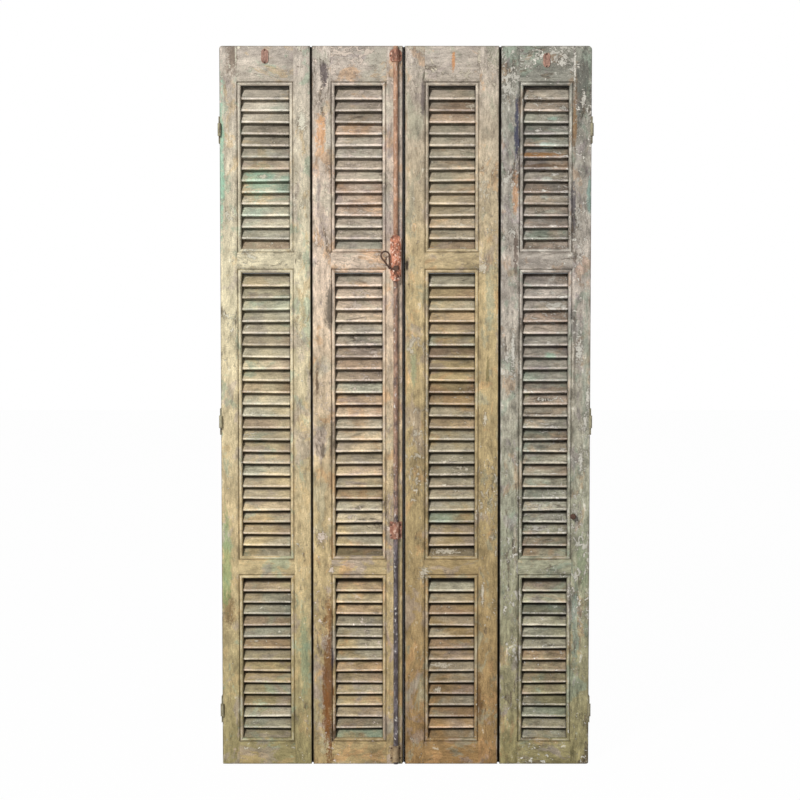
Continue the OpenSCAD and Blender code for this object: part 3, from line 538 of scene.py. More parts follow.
def painted_slat_light(tree, axes, noise, colour, leaf, depth):
    nose_to_back = math_of(tree, "DIVIDE", depth, back_y - front_y)
    colour = shade(tree, colour, nose_to_back, NOSE_SHADING)
    # painted shadow of the slat above, stronger on the lower slats
    shadow = times(tree, between(tree, nose_to_back, 0.46, 0.57), between(tree, axes["Z"], 1.9, 0.5))
    colour = lay_dirt_or_shade(tree, colour, shadow, "slat_shadow")
    # painted highlight: a pale line along each nose
    nose = times(tree, between(tree, nose_to_back, 0.175, 0.155), between(tree, noise.grit, 0.4, 0.55))
    colour = tint(tree, colour, nose, NOSE_HIGHLIGHT_SHARE, NOSE_HIGHLIGHT)
    # painted shade at the slat ends, where they enter the stiles
    ends = times(tree, off_middle(tree, axes["X"], *sight(leaf)), -1.0)
    near_end = between(tree, plus(tree, ends, rough_line(tree, noise)), 0.006, 0.001)
    return lay_dirt_or_shade(tree, colour, near_end, "slat_end_shade")

print("a nose is", NOSE_SHADING[0][1], "times as bright as its paint")

# %% [markdown]
# ## Old paint: the whole stack
# The layers are now laid in their order, from the last coat to the dirt and the painted light and shade.
# The masks of bare wood and of scabs also lower the surface a little, so that the flakes have edges that
# catch the light.

# %% Recipe for old paint
COAT_THICK = 0.0022

def old_paint(name, leaf, coats, grain, wear, of_slats=False, shade_in_gaps=True, shift=0.0):
    """The paint of one board of a leaf, with its grain along X or Z and a wear from 0 to 1."""
    finish, tree, skin, place, axes = new_finish(name)
    noise = board_noises(tree, place, grain, shift)
    edge = edge_reach(tree, axes, leaf)
    depth = math_of(tree, "SUBTRACT", axes["Y"], front_y)
    colour = layered_coats(tree, axes, noise, leaf, coats)
    if of_slats:
        colour = slat_colours(tree, noise, colour)
    colour = mottled(tree, noise, colour, wear)
    colour = blotched(tree, axes, noise, colour, leaf)
    colour = flaked(tree, noise, colour, leaf, wear, edge)
    bare = bare_streaks(tree, noise, wear)
    colour = grained(tree, noise, colour, leaf, wear, bare)
    colour, scab = scabbed(tree, noise, colour, leaf, wear)
    pale = shade(tree, paint(*UNDERCOATS[leaf]), noise.grit, PALE_SHADING)
    colour = peeled(tree, axes, noise, colour, pale, wear)
    colour = chipped(tree, axes, noise, colour, pale, leaf)
    colour = dirt_and_shade_in_grooves(tree, noise, colour, leaf, groove_reach(tree, axes, leaf), not of_slats)
    colour = dirty_rim(tree, noise, colour, edge)
    if of_slats:
        colour = painted_slat_light(tree, axes, noise, colour, leaf, depth)
    if shade_in_gaps:
        colour = paint_gap_shade(tree, colour, depth)
    tree.links.new(colour, skin.inputs["Base Color"])
    skin.inputs["Specular IOR Level"].default_value = 0.2
    roughness = math_of(tree, "SUBTRACT", 0.82, times(tree, noise.ragged, 0.25))
    tree.links.new(roughness, skin.inputs["Roughness"])
    coat_step = plus(tree, times(tree, noise.ragged, 0.5), times(tree, noise.middling, 0.6))
    worn_step = math_of(tree, "SUBTRACT", coat_step, times(tree, plus(tree, bare, scab), 0.5))
    roughen(tree, skin, plus(tree, worn_step, times(tree, noise.fine, 0.35)), COAT_THICK)
    return finish

print("paint recipe ready")

# %% [markdown]
# ## The coats of each board
# The left leaf was a grey sage that turns olive towards the floor, the second pink and orange tan,
# the third ochre, and the right one mauve and grey green. Each leaf lists four paints from the floor
# up, and has a few large blotches that anyone who knows the set would look for. A blotch is an oval, given by the x and z of its middle and
# its reach along x and z, with a colour and a strength. A chip is such an oval alone, and shows the
# leaf's undercoat.

# %% Paints of each leaf
PAINTS = {"brown": (150, 120, 80), "olive": (150, 140, 100), "tan": (170, 150, 110),
          "ochre": (190, 170, 130), "buff": (200, 180, 140), "cream": (210, 200, 170),
          "rose": (210, 190, 170), "mauve": (180, 170, 160), "lichen": (160, 160, 140),
          "slate": (140, 140, 130)}
LEAF_PAINTS = {
    "outer_left": ["olive", "buff", "cream", "mauve"],
    "inner_left": ["tan", "ochre", "rose", "mauve"],
    "inner_right": ["brown", "tan", "ochre", "mauve"],
    "outer_right": ["olive", "lichen", "mauve", "slate"],
}

def leaf_coats(leaf):
    """The paints of a leaf, spaced evenly from the floor to its top."""
    names = LEAF_PAINTS[leaf]
    return [(LEAF_TOP * number / (len(names) - 1), PAINTS[name]) for number, name in enumerate(names)]

print(len(PAINTS), "paints on", len(LEAF_PAINTS), "leaves")

# %% Undercoats, older coats and wear
UNDERCOATS = {"outer_left": (224, 219, 200), "inner_left": (226, 210, 196), "inner_right": (214, 204, 184),
              "outer_right": (220, 216, 206)}
OLD_COATS = {
    "outer_left": [((150, 172, 150), 0.5), ((196, 168, 122), 0.45), ((166, 152, 146), 0.45)],
    "inner_left": [((206, 160, 112), 0.45), ((158, 146, 148), 0.5), ((172, 176, 156), 0.3)],
    "inner_right": [((196, 152, 106), 0.4), ((150, 152, 132), 0.5), ((160, 146, 142), 0.4)],
    "outer_right": [((142, 158, 142), 0.5), ((150, 138, 140), 0.5), ((178, 138, 100), 0.35)],
}
WEAR = {"outer_left": 0.2, "inner_left": 0.45, "inner_right": 0.35, "outer_right": 0.85}
print("the most worn leaf is", max(WEAR, key=WEAR.get))

# %% Blotches by leaf
BLOTCHES = {
    "outer_left": [
        ((-0.524, 2.14, 0.022, 0.05), (122, 106, 92), 0.75),
        ((-0.557, 1.86, 0.011, 0.28), (146, 190, 166), 0.75),
        ((-0.44, 1.772, 0.048, 0.05), (160, 200, 176), 0.6),
        ((-0.54, 0.47, 0.018, 0.07), (118, 94, 64), 0.75),
        ((-0.545, 0.62, 0.016, 0.16), (140, 164, 112), 0.6),
        ((-0.31, 0.34, 0.016, 0.16), (128, 146, 118), 0.6),
    ],
    "inner_left": [
        ((-0.246, 2.1, 0.013, 0.05), (88, 78, 80), 0.85),
        ((-0.258, 1.92, 0.018, 0.06), (214, 158, 108), 0.7),
        ((-0.23, 1.405, 0.013, 0.085), (96, 88, 79), 0.8),
        ((-0.264, 1.75, 0.008, 0.07), (122, 114, 116), 0.6),
        ((-0.234, 0.22, 0.021, 0.25), (112, 76, 43), 0.9),
        ((-0.24, 0.14, 0.014, 0.12), (128, 84, 46), 0.8),
        ((-0.234, 0.466, 0.013, 0.07), (124, 86, 50), 0.75),
        ((-0.22, 1.0, 0.01, 0.095), (104, 93, 80), 0.75),
        ((-0.269, 1.165, 0.006, 0.04), (88, 68, 48), 0.8),
        ((-0.222, 0.33, 0.006, 0.05), (66, 66, 84), 0.7),
    ],
    "inner_right": [
        ((0.052, 2.02, 0.008, 0.075), (92, 82, 82), 0.75),
        ((0.1435, 2.13, 0.006, 0.035), (196, 134, 78), 0.75),
        ((0.0035, 1.525, 0.006, 0.022), (44, 34, 28), 0.95),
        ((0.018, 1.72, 0.012, 0.1), (150, 146, 128), 0.6),
        ((0.222, 0.2, 0.012, 0.08), (110, 78, 44), 0.7),
        ((0.024, 1.22, 0.011, 0.09), (148, 158, 126), 0.6),
        ((0.2475, 1.2, 0.006, 0.05), (104, 96, 60), 0.65),
        ((0.255, 1.42, 0.02, 0.09), (156, 160, 138), 0.6),
        ((0.0645, 1.14, 0.005, 0.07), (96, 98, 98), 0.6),
        ((0.0645, 1.75, 0.004, 0.1), (102, 92, 90), 0.5),
    ],
    "outer_right": [
        ((0.335, 1.92, 0.009, 0.115), (56, 58, 82), 0.9),
        ((0.534, 2.06, 0.03, 0.13), (92, 92, 86), 0.75),
        ((0.508, 1.95, 0.008, 0.12), (142, 108, 70), 0.75),
        ((0.506, 1.69, 0.009, 0.09), (80, 76, 82), 0.85),
        ((0.556, 1.74, 0.01, 0.06), (126, 152, 144), 0.7),
        ((0.331, 1.735, 0.012, 0.075), (192, 146, 108), 0.75),
        ((0.333, 1.56, 0.008, 0.08), (84, 66, 56), 0.7),
        ((0.44, 1.25, 0.018, 0.012), (160, 186, 164), 0.8),
        ((0.368, 1.134, 0.012, 0.008), (214, 206, 160), 0.85),
        ((0.419, 1.857, 0.08, 0.008), (150, 110, 66), 0.85),
        ((0.419, 1.823, 0.08, 0.008), (96, 74, 53), 0.8),
        ((0.446, 1.966, 0.022, 0.008), (172, 194, 178), 0.85),
        ((0.422, 1.887, 0.028, 0.008), (180, 198, 186), 0.8),
        ((0.428, 1.784, 0.018, 0.008), (188, 192, 180), 0.75),
        ((0.42, 1.73, 0.014, 0.01), (186, 190, 180), 0.6),
        ((0.44, 1.685, 0.03, 0.008), (196, 194, 178), 0.6),
        ((0.545, 1.2, 0.012, 0.3), (150, 160, 146), 0.5),
        ((0.54, 0.62, 0.02, 0.12), (126, 140, 112), 0.55),
        ((0.517, 0.42, 0.016, 0.14), (140, 160, 148), 0.6),
        ((0.512, 1.25, 0.006, 0.16), (92, 84, 76), 0.55),
        ((0.333, 0.66, 0.005, 0.1), (196, 186, 164), 0.5),
    ],
}
print(sum(len(spots) for spots in BLOTCHES.values()), "blotches")

# %% Chips by leaf
CHIPS = {
    "outer_left": [
        (-0.311, 1.954, 0.011, 0.026), (-0.5105, 2.16, 0.0022, 0.035), (-0.43, 1.79, 0.012, 0.006),
    ],
    "inner_left": [
        (-0.256, 0.697, 0.012, 0.015), (-0.226, 0.597, 0.006, 0.01), (-0.27, 1.6, 0.004, 0.02),
    ],
    "inner_right": [
        (0.221, 2.15, 0.004, 0.026), (0.234, 1.515, 0.01, 0.014), (0.122, 0.652, 0.035, 0.007),
        (0.113, 0.302, 0.026, 0.007), (0.098, 0.2265, 0.009, 0.007), (0.056, 0.588, 0.011, 0.016),
        (0.234, 0.527, 0.004, 0.03), (0.241, 1.058, 0.005, 0.018),
    ],
    "outer_right": [
        (0.5085, 2.12, 0.003, 0.055), (0.525, 1.268, 0.01, 0.034), (0.325, 1.27, 0.005, 0.055),
        (0.47, 1.426, 0.01, 0.005), (0.464, 0.776, 0.012, 0.005), (0.535, 2.02, 0.006, 0.022),
        (0.47, 2.13, 0.014, 0.01), (0.532, 0.93, 0.006, 0.03), (0.4, 1.93, 0.01, 0.005),
        (0.4735, 1.996, 0.009, 0.005), (0.43, 2.135, 0.01, 0.008), (0.545, 1.05, 0.006, 0.02),
        (0.552, 1.12, 0.005, 0.03),
    ],
}
print(sum(len(spots) for spots in CHIPS.values()), "chips")

# %% Mix the paints
RAIL_SHARE = 0.8
SLAT_SHARE = 0.85
STILE_SHIFT = 1.7
RAIL_SHIFT = 5.3
SLAT_SHIFT = 9.1
OUTER_STILES = ("outer_left_left_stile", "outer_right_right_stile")
finishes = {}
for number, leaf in enumerate(LEAVES):
    for side in ("left_stile", "right_stile"):
        node = f"{leaf}_{side}"
        finishes[node] = old_paint(f"paint_{node}", leaf, leaf_coats(leaf), "Z", WEAR[leaf],
                                   shade_in_gaps=node not in OUTER_STILES,
                                   shift=STILE_SHIFT * number + (side == "right_stile"))
    finishes[f"{leaf}_rails"] = old_paint(f"paint_{leaf}_rails", leaf, leaf_coats(leaf), "X",
                                          RAIL_SHARE * WEAR[leaf], shift=RAIL_SHIFT + number)
    finishes[f"{leaf}_slats"] = old_paint(f"paint_{leaf}_slats", leaf, leaf_coats(leaf), "X",
                                          SLAT_SHARE * WEAR[leaf], of_slats=True, shade_in_gaps=False,
                                          shift=SLAT_SHIFT + number)
print(len(finishes), "paints mixed")

# %% [markdown]
# ## Choosing vertices
# By hand, the part of a mesh that a tool should act on is boxed with the mouse. In a script it is
# chosen by its place. The choice is made in edit mode, because a choice made outside it is lost where
# faces are still marked as selected.

# %% Select by place
def pick(piece, wanted):
    """Enter edit mode with only those vertices selected whose place is wanted."""
    bpy.ops.object.mode_set(mode="EDIT")
    bpy.ops.mesh.select_mode(type="VERT")
    bpy.ops.mesh.select_all(action="DESELECT")
    shape = bmesh.from_edit_mesh(piece.data)
    for vertex in shape.verts:
        vertex.select_set(wanted(vertex.co))
    shape.select_flush_mode()
    bmesh.update_edit_mesh(piece.data)

print("selection helper ready")

# %% [markdown]
# ## Worn boards
# A plane leaves sharp arrises, and hands, weather and paint round them off. Each board is a copy of
# its CAD node: its loose triangles are merged, flat facets are joined again, and a bevel rounds every
# arris. The copy then stands for the node, at the same place and size.
# The outer leaves have also lost some of their corners, and the rod's top guide is a plate with round
# ends, so the edges that stand at those corners are bevelled first.

# %% Round a corner
def round_corner(board, x, z, size):
    """Bevel the corner of a board that stands at x and z, from its front to its back."""
    bpy.ops.object.mode_set(mode="EDIT")
    bpy.ops.mesh.select_mode(type="EDGE")
    bpy.ops.mesh.select_all(action="DESELECT")
    shape = bmesh.from_edit_mesh(board.data)
    near = size / 20
    for edge in shape.edges:
        edge.select_set(all(abs(v.co.x - x) < near and abs(v.co.z - z) < near for v in edge.verts))
    bmesh.update_edit_mesh(board.data)
    bpy.ops.mesh.bevel(offset=size, segments=3)
    bpy.ops.mesh.select_mode(type="VERT")
    bpy.ops.object.mode_set(mode="OBJECT")

GUIDE_ROUND = 0.011
# side (0 left, 1 right), end (0 bottom, 1 top) and size of each corner
WORN_CORNERS = {"outer_left_left_stile": [(0, 1, 0.008), (0, 0, 0.003)],
                "outer_right_right_stile": [(1, 1, 0.011), (1, 0, 0.005)],
                "top_rod_guide": [(side, end, GUIDE_ROUND) for side in (0, 1) for end in (0, 1)]}
print(sum(len(corners) for corners in WORN_CORNERS.values()), "corners to round")

# %% Copy a board and round its arrises
MERGE_REACH = 0.00002
FLAT_BELOW = math.radians(2)
ARRIS_ABOVE = math.radians(50)
SMOOTH_BELOW = math.radians(38)

def worn_copy(node, body, arris):
    """A merged copy of a CAD node, with worn corners and round arrises, that stands for the node."""
    bpy.ops.object.select_all(action="DESELECT")
    source = frame["nodes"][node]
    source.select_set(True)
    bpy.context.view_layer.objects.active = source
    bpy.ops.object.duplicate()
    board = bpy.context.object
    board.name = f"{node}_worn"
    del board["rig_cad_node"]
    board.data.materials.clear()
    bpy.ops.object.mode_set(mode="EDIT")
    bpy.ops.mesh.select_all(action="SELECT")
    bpy.ops.mesh.remove_doubles(threshold=MERGE_REACH)
    bpy.ops.mesh.dissolve_limited(angle_limit=FLAT_BELOW)
    bpy.ops.object.mode_set(mode="OBJECT")
    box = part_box(node)
    for side, end, size in WORN_CORNERS.get(node, ()):
        round_corner(board, box[side].x, box[end].z, size)
    if arris:
        rounding = board.modifiers.new("worn_arris", "BEVEL")
        rounding.width = arris
        rounding.segments = 2
        rounding.limit_method = "ANGLE"
        rounding.angle_limit = ARRIS_ABOVE
        rounding.use_clamp_overlap = True
        bpy.ops.object.modifier_apply(modifier="worn_arris")
    bpy.ops.object.shade_smooth_by_angle(angle=SMOOTH_BELOW)
    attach(board, body)
    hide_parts(node)
    return board

print("edges sharper than", round(math.degrees(ARRIS_ABOVE)), "degrees are rounded")

# %% Stiles, rails and pegs
ARRIS = 0.0012
STILES_AND_RAILS = ("left_stile", "right_stile", "top_rail", "upper_mid_rail", "lower_mid_rail",
                    "bottom_rail")
boards = {}
for leaf in LEAVES:
    rail_paint = finishes[f"{leaf}_rails"]
    for part in STILES_AND_RAILS:
        node = f"{leaf}_{part}"
        board = worn_copy(node, leaf, ARRIS)
        board.data.materials.append(finishes.get(node, rail_paint))
        boards[node] = board
    pegs = frame["nodes"][f"{leaf}_pegs"]
    pegs.data.materials.clear()
    pegs.data.materials.append(rail_paint)
print(len(boards), "worn boards,", sum(len(b.data.polygons) for b in boards.values()), "faces")

# %% [markdown]
# ## Paint ridges in the middle gap
# Where the two pairs meet, years of brushing left a ridge of paint along both meeting edges, so hardly
# any light comes through. The nose of each edge is moved out by less than half a millimetre.

# %% Thicken the meeting noses
RIDGE = 0.00042
for node, side in (("inner_left_right_stile", 1), ("inner_right_left_stile", -1)):
    board = boards[node]
    nose = max(side * v.co.x for v in board.data.vertices)
    bpy.ops.object.select_all(action="DESELECT")
    board.select_set(True)
    bpy.context.view_layer.objects.active = board
    pick(board, lambda place: side * place.x > nose - ARRIS)
    bpy.ops.transform.translate(value=(side * RIDGE, 0, 0))
    bpy.ops.object.mode_set(mode="OBJECT")
    reach = [v.co.x for v in board.data.vertices]
    print(node, "reaches from", round(min(reach), 5), "to", round(max(reach), 5))

# %% [markdown]
# ## Slats
# No two slats aged alike. The slats of a leaf are copied as the boards were, and each one is found as
# an island of joined vertices. Two numbers are stored on it, a tone and a hue, and the paint reads
# them as attributes. Chance draws both, except on the odd slats listed here, counted from the top of
# the leaf, which are far darker, paler, greener or browner than their neighbours. Loose housings let
# a slat tip by a millimetre or so, which is done by turning each island in edit mode. The first slat
# of an opening stays straight, or light would show above it.

# %% Odd slats
ODD_TONES = {"outer_left": {15: 0.72, 40: 0.74}, "inner_left": {1: 0.8, 37: 0.42, 41: 0.78, 46: 0.8},
             "inner_right": {1: 0.66, 20: 0.72, 17: 1.2, 37: 0.62},
             "outer_right": {3: 0.78, 5: 0.72, 6: 0.76, 14: 0.74, 40: 0.5, 48: 0.8}}
ODD_HUES = {"outer_left": {7: 0.0, 8: 0.0}, "inner_left": {13: 0.1, 38: 0.92, 45: 0.9},
            "inner_right": {1: 0.9, 6: 0.5, 20: 0.85, 35: 0.55},
            "outer_right": {5: 0.92, 6: 0.9, 29: 0.45, 38: 0.75, 41: 1.0, 44: 0.88, 45: 0.93, 47: 0.78,
                            49: 0.1}}
TONES = (0.78, 1.18)
SLAT_SLACK = 0.0018
TOP_SLATS = (0, 14, 38)
print(sum(len(odd) for odd in (*ODD_TONES.values(), *ODD_HUES.values())), "odd tones and hues")

# %% Find, colour and tip the slats
def slat_islands(mesh):
    """Vertex indices of each slat, from the top down."""
    shape = bmesh.new()
    shape.from_mesh(mesh)
    left = set(shape.verts)
    islands = []
    while left:
        reached = [left.pop()]
        for vertex in reached:
            for edge in vertex.link_edges:
                other = edge.other_vert(vertex)
                if other in left:
                    left.remove(other)
                    reached.append(other)
        islands.append((sum(v.co.z for v in reached) / len(reached), [v.index for v in reached]))
    shape.free()
    return [members for height, members in sorted(islands, reverse=True)]

def colour_slats(slats, islands, leaf):
    tone = slats.data.attributes.new("slat_tone", "FLOAT", "POINT")
    hue = slats.data.attributes.new("slat_hue", "FLOAT", "POINT")
    for number, members in enumerate(islands):
        slat_tone = ODD_TONES[leaf].get(number, chance.uniform(*TONES))
        slat_hue = ODD_HUES[leaf].get(number, chance.random())
        for vertex in members:
            tone.data[vertex].value = slat_tone
            hue.data[vertex].value = slat_hue

def tip_slats(slats, islands, leaf):
    """Turn each slat a little about its nose, within the slack of its housings."""
    left, right = sight(leaf)
    slack = SLAT_SLACK / (right - left)
    bpy.ops.object.mode_set(mode="EDIT")
    for number, members in enumerate(islands):
        if number in TOP_SLATS:
            continue
        shape = bmesh.from_edit_mesh(slats.data)
        shape.verts.ensure_lookup_table()
        own = set(members)
        for vertex in shape.verts:
            vertex.select_set(vertex.index in own)
        shape.select_flush_mode()
        nose = min((shape.verts[i].co for i in members), key=lambda co: co.y)
        bpy.ops.transform.rotate(value=chance.uniform(-slack, slack), orient_axis="Y",
                                 center_override=((left + right) / 2, nose.y, nose.z))
    bpy.ops.object.mode_set(mode="OBJECT")

for leaf in LEAVES:
    slats = worn_copy(f"{leaf}_slats", leaf, 0)
    islands = slat_islands(slats.data)
    colour_slats(slats, islands, leaf)
    tip_slats(slats, islands, leaf)
    slats.data.materials.append(finishes[f"{leaf}_slats"])
    print(leaf, len(islands), "slats")

# %% [markdown]
# ## Iron
# The bolt, guides and hinges are iron that was painted once. Rust came through in red brown, rubbed
# places shine dark, and crusts of old paint are left as pale pink flakes. One recipe makes them all,
# with other shares of rust, paint and dark metal.
# The rod's top guide is copied like a board, so that its ends can be rounded.

# %% Recipe for old iron
RUST_THICK = 0.0008
BLEND = 0.12
CRUST_COVER = 0.85
CRUST_EASE = 0.16
IRON_GRIT = [(0.3, 0.66), (0.5, 1.0), (0.7, 1.25)]

def old_iron(name, rust, crust, crust_share, dark, lower=None, shift=0.0, pits_and_shade=0.3):
    """Rust under flakes of old paint, the crust; lower is a height and the colour below it."""
    finish, tree, skin, place, axes = new_finish(name)
    moved = spread(tree, place, (1, 1, HALF_GRAIN), (shift, 0, shift))
    blotch = clouds(tree, moved, 60.0, 6.0, 0.65, 0.5)
    grit = clouds(tree, moved, 420.0, 5.0, 0.7)
    flakes = clouds(tree, spread(tree, moved, AS_IT_IS, (3.3, 1.2, 2.1)), 130.0, 7.0, 0.66, 0.4)
    bright = [min(255, int(channel * 1.25)) for channel in rust]
    colour = shades(tree, blotch, [(0.30, paint(*dark)), (0.52, paint(*rust)), (0.72, paint(*bright))])
    if lower:
        lower_z, lower_colour = lower
        height = plus(tree, axes["Z"], push(tree, blotch, 0.5))
        below = between(tree, height, lower_z + BLEND, lower_z - BLEND)
        rubbed = layer(tree, between(tree, blotch, 0.4, 0.62), paint(*dark), paint(*lower_colour))
        colour = layer(tree, below, colour, rubbed)
    colour = shade(tree, colour, grit, IRON_GRIT)
    crusted = past(tree, flakes, 0.66, 0.72, crust_share, CRUST_EASE)
    colour = tint(tree, colour, crusted, CRUST_COVER, crust)
    # dark spots by noise: pitting, and painted shade that stands in for the shaded hollows of cast relief,
    # strongest on the case
    colour = tint(tree, colour, between(tree, flakes, 0.47, 0.40), pits_and_shade, dark)
    tree.links.new(colour, skin.inputs["Base Color"])
    skin.inputs["Metallic"].default_value = 0.15
    skin.inputs["Specular IOR Level"].default_value = 0.35
    tree.links.new(plus(tree, times(tree, blotch, 0.3), 0.5), skin.inputs["Roughness"])
    roughen(tree, skin, plus(tree, times(tree, grit, 0.4), times(tree, crusted, 0.5)), RUST_THICK)
    return finish

print("rust stands up to", RUST_THICK, "m high")

# %% Mix the irons
iron = {
    "case": old_iron("iron_case", (186, 124, 98), (240, 212, 196), 0.8, (52, 31, 25), pits_and_shade=0.85),
    "upper_rod": old_iron("iron_upper_rod", (176, 140, 116), (212, 196, 182), 0.6, (128, 86, 64)),
    "lower_rod": old_iron("iron_lower_rod", (154, 124, 106), (220, 216, 212), 0.55, (72, 64, 66),
                          lower=(0.78, (120, 113, 119)), shift=2.0),
    "rust": old_iron("iron_rust", (158, 112, 93), (220, 190, 172), 0.7, (70, 46, 38), shift=4.0),
    "eye": old_iron("iron_eye", (156, 122, 108), (190, 164, 150), 0.5, (96, 66, 56), shift=5.0),
    "painted": old_iron("iron_painted", (152, 132, 104), (186, 170, 142), 0.6, (92, 72, 54), shift=6.0),
    "sage": old_iron("iron_sage", (150, 144, 120), (186, 182, 160), 0.5, (92, 80, 64), shift=7.0),
    "dark": old_iron("iron_dark", (84, 60, 48), (150, 116, 98), 0.1, (46, 36, 32), shift=8.0),
}
print(len(iron), "irons mixed")

# %% Finish the iron pieces
IRON_NODES = {
    "rust": ["lower_rod_guide", "outer_left_fold_flaps", "inner_left_fold_flaps",
             "outer_right_fold_flaps", "inner_right_fold_flaps"],
    "eye": ["outer_left_eye_plate", "outer_right_eye_plate"],
    "sage": ["outer_left_hinge_halves", "outer_right_hinge_halves", "left_jamb_hinge_halves",
             "right_jamb_hinge_halves"],
    "dark": ["left_fold_pins", "right_fold_pins", "bolt_handle", "bolt_pinion", "outer_right_knob"],
    "case": ["bolt_case"],
    "upper_rod": ["upper_rod"],
    "lower_rod": ["lower_rod"],
    "painted": ["bottom_rod_guide"],
}
for look, nodes in IRON_NODES.items():
    for node in nodes:
        piece = frame["nodes"][node]
        piece.data.materials.clear()
        piece.data.materials.append(iron[look])
top_guide = worn_copy("top_rod_guide", "inner_left", ARRIS / 2)
top_guide.data.materials.append(iron["rust"])
print(sum(len(n) for n in IRON_NODES.values()) + 1, "iron nodes finished")

# %% [markdown]
# ## Cast scrolls on the bolt's case
# The case was cast with scrolls and leaves that the CAD leaves out as carving. A scroll is a ring,
# flattened on the crown of the case, and a leaf is a ball drawn out and tapered at one end. One
# function makes each kind, because every one has its own size and turn, and all of them are joined
# into one ornament. The crown is round, so what lies beside its middle sits deeper, by the square of
# that distance.

# %% Scrolls and leaves
case_low, case_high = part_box("bolt_case")
case_x = (case_low.x + case_high.x) / 2
case_front = case_low.y
ornament = []
CROWN_FALL = 14
SCROLL_SINK = 0.0016
LEAF_SINK = 0.0014

def on_crown(x, z, sink):
    return x, case_front + sink + CROWN_FALL * (x - case_x) ** 2, z

def cast_scroll(x, z, size, turn):
    bpy.ops.object.select_all(action="DESELECT")
    bpy.ops.mesh.primitive_torus_add(major_segments=28, minor_segments=10, major_radius=size,
                                     minor_radius=size * 0.3, rotation=(math.pi / 2, 0, 0))
    scroll = bpy.context.object
    bpy.ops.object.transform_apply(location=False, rotation=True, scale=False)
    bpy.ops.object.mode_set(mode="EDIT")
    bpy.ops.mesh.select_all(action="SELECT")
    bpy.ops.transform.resize(value=(0.85, 0.75, 1.15))
    bpy.ops.transform.rotate(value=turn, orient_axis="Y", center_override=(0, 0, 0))
    bpy.ops.object.mode_set(mode="OBJECT")
    scroll.location = on_crown(x, z, SCROLL_SINK)
    ornament.append(scroll)

def cast_leaf(x, z, length, turn):
    bpy.ops.object.select_all(action="DESELECT")
    bpy.ops.mesh.primitive_uv_sphere_add(segments=16, ring_count=10, radius=length / 2)
    leaf_piece = bpy.context.object
    pick(leaf_piece, lambda place: place.z > length * 0.2)
    bpy.ops.transform.resize(value=(0.35, 0.7, 1.2))
    bpy.ops.mesh.select_all(action="SELECT")
    bpy.ops.transform.resize(value=(0.5, 0.32, 1.0))
    bpy.ops.transform.rotate(value=turn, orient_axis="Y", center_override=(0, 0, 0))
    bpy.ops.object.mode_set(mode="OBJECT")
    leaf_piece.location = on_crown(x, z, LEAF_SINK)
    ornament.append(leaf_piece)

print("the case's crown lies at", round(case_front, 4))

# %% Place the ornament
# offset from the case's middle, rise above its foot, size and turn of each
SCROLLS = [(-0.0052, 0.132, 0.0046, 0.4), (0.0056, 0.120, 0.0046, -0.4), (-0.0060, 0.106, 0.0040, 0.2),
           (0.0062, 0.066, 0.0040, -0.3), (-0.0056, 0.054, 0.0042, 0.5), (0.0060, 0.022, 0.0042, -0.2)]
LEAF_SHAPES = [(0.0, 0.112, 0.020, 0.3), (-0.0070, 0.086, 0.018, -0.5), (0.0075, 0.094, 0.018, 0.5),
               (0.0, 0.060, 0.020, -0.4), (0.0065, 0.044, 0.017, 0.6), (-0.0062, 0.024, 0.018, -0.5),
               (0.0, 0.012, 0.016, 0.0)]
for dx, rise, size, turn in SCROLLS:
    cast_scroll(case_x + dx, case_low.z + rise, size, turn)
for dx, rise, length, turn in LEAF_SHAPES:
    cast_leaf(case_x + dx, case_low.z + rise, length, turn)
bpy.ops.object.select_all(action="DESELECT")
for piece in ornament:
    piece.select_set(True)
bpy.context.view_layer.objects.active = ornament[0]
bpy.ops.object.join()
scrolls = bpy.context.object
scrolls.name = "bolt_case_scrolls"
bpy.ops.object.transform_apply(location=True, rotation=True, scale=True)
bpy.ops.object.shade_smooth()
scrolls.data.materials.append(iron["case"])
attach(scrolls, "inner_left")
print("ornament with", len(scrolls.data.polygons), "faces")

# %% [markdown]
# ## Eye plates
# Each oval plate on an outer leaf has a shallow dished face inside its rim, with a hole near its top.
# The face is a round disc drawn out to an oval; its middle is inset and pressed in, and the hole is a
# small inset face pressed deeper.

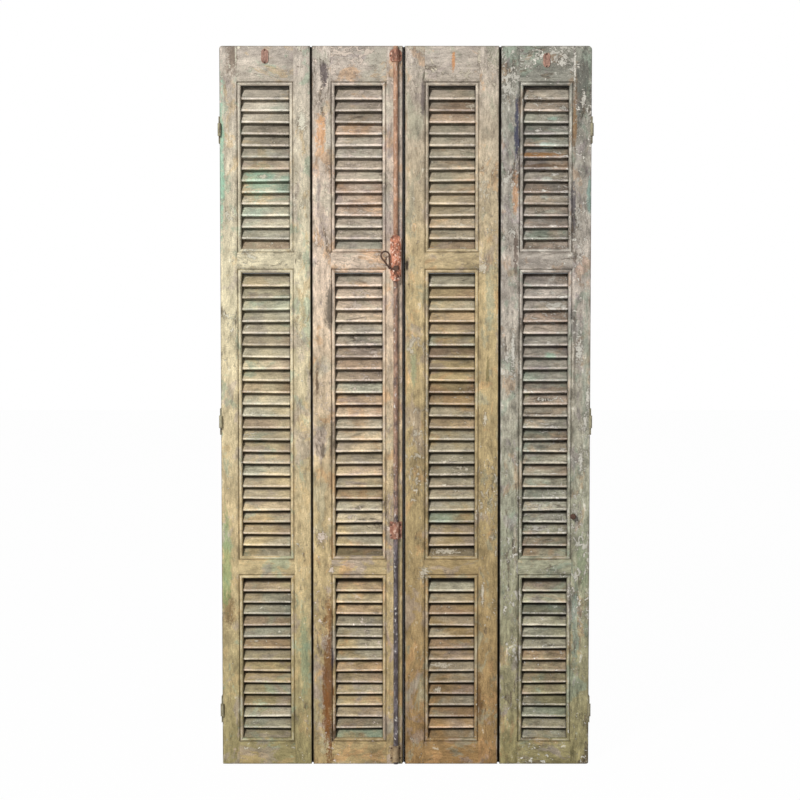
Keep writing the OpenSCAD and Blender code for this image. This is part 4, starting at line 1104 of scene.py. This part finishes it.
# %% Dished faces
RIM_W = 0.005
FACE_THICK = 0.0018
FACE_LIFT = 0.0011
DISH_DEPTH = 0.0004
HOLE_DEPTH = 0.0008
DISH_SMOOTH = math.radians(35)
EYE_PLATES = (("outer_left_eye_plate", "outer_left"), ("outer_right_eye_plate", "outer_right"))
for plate, leaf in EYE_PLATES:
    low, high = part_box(plate)
    half_w = (high.x - low.x) / 2 - RIM_W
    half_h = (high.z - low.z) / 2 - RIM_W
    bpy.ops.object.select_all(action="DESELECT")
    bpy.ops.mesh.primitive_cylinder_add(vertices=32, radius=half_w, depth=FACE_THICK,
                                        rotation=(math.pi / 2, 0, 0))
    face = bpy.context.object
    bpy.ops.object.transform_apply(location=False, rotation=True, scale=False)
    pick(face, lambda place: place.z > 0)
    bpy.ops.transform.translate(value=(0, 0, half_h - half_w))
    bpy.ops.mesh.select_all(action="INVERT")
    bpy.ops.transform.translate(value=(0, 0, half_w - half_h))
    bpy.ops.object.mode_set(mode="OBJECT")
    pick(face, lambda place: place.y < 0)
    bpy.ops.mesh.select_mode(type="FACE")
    bpy.ops.mesh.inset(thickness=half_w * 0.35)
    bpy.ops.transform.translate(value=(0, DISH_DEPTH, 0))
    bpy.ops.mesh.inset(thickness=half_w * 0.3)
    bpy.ops.transform.resize(value=(1.0, 1.0, 0.3))
    bpy.ops.transform.translate(value=(0, HOLE_DEPTH, half_h * 0.35))
    bpy.ops.mesh.select_mode(type="VERT")
    bpy.ops.object.mode_set(mode="OBJECT")
    face.location = ((low.x + high.x) / 2, front_y - FACE_LIFT, (low.z + high.z) / 2)
    bpy.ops.object.transform_apply(location=True, rotation=False, scale=False)
    bpy.ops.object.shade_smooth_by_angle(angle=DISH_SMOOTH)
    face.name = f"{plate}_face"
    face.data.materials.append(iron["eye"])
    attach(face, leaf)
    print(face.name, [round(v, 4) for v in face.dimensions])

# %% [markdown]
# ## Nails
# The guides and eye plates are nailed on with hand-made nails, whose heads are low rough domes.
# One head is modelled from a cylinder, its top drawn in and its rim bevelled, and each copy gets its
# own mesh.

# %% Nail heads
NAIL_R = 0.0030
NAIL_THICK = 0.0018
NAIL_ROUND = 0.0003
NAIL_LIFT = 0.0036
GUIDE_INSET = 0.0036
PLATE_INSET = 0.0030
bpy.ops.object.select_all(action="DESELECT")
bpy.ops.mesh.primitive_cylinder_add(vertices=10, radius=NAIL_R, depth=NAIL_THICK,
                                    rotation=(math.pi / 2, 0, 0))
nail = bpy.context.object
bpy.ops.object.transform_apply(location=False, rotation=True, scale=False)
pick(nail, lambda place: place.y < 0)
bpy.ops.transform.resize(value=(0.55, 1, 0.6))
bpy.ops.mesh.select_all(action="SELECT")
bpy.ops.mesh.bevel(offset=NAIL_ROUND, segments=2)
bpy.ops.object.mode_set(mode="OBJECT")
nail.data.materials.append(iron["dark"])
print("nail head", [round(v, 4) for v in nail.dimensions])

# %% Place the nails
# how far up each guide its nails lie
GUIDE_NAILS = {"top_rod_guide": (0.5,), "lower_rod_guide": (0.2, 0.8), "bottom_rod_guide": (0.2, 0.8)}
nail_y = front_y - NAIL_LIFT
nail_places = []
for guide, heights in GUIDE_NAILS.items():
    low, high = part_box(guide)
    for x in (low.x + GUIDE_INSET, high.x - GUIDE_INSET):
        for z in (low.z + height * (high.z - low.z) for height in heights):
            nail_places.append((x, nail_y, z, "inner_left"))
for plate, body in EYE_PLATES:
    low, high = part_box(plate)
    for z in (low.z + PLATE_INSET, high.z - PLATE_INSET):
        nail_places.append(((low.x + high.x) / 2, nail_y, z, body))
for number, (x, y, z, body) in enumerate(nail_places):
    head = nail.copy()
    head.data = nail.data.copy()
    head.name = f"nail_{number}"
    scene.collection.objects.link(head)
    head.data.transform(Matrix.Translation((x, y, z)))
    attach(head, body)
bpy.data.objects.remove(nail)
print(len(nail_places), "nails")
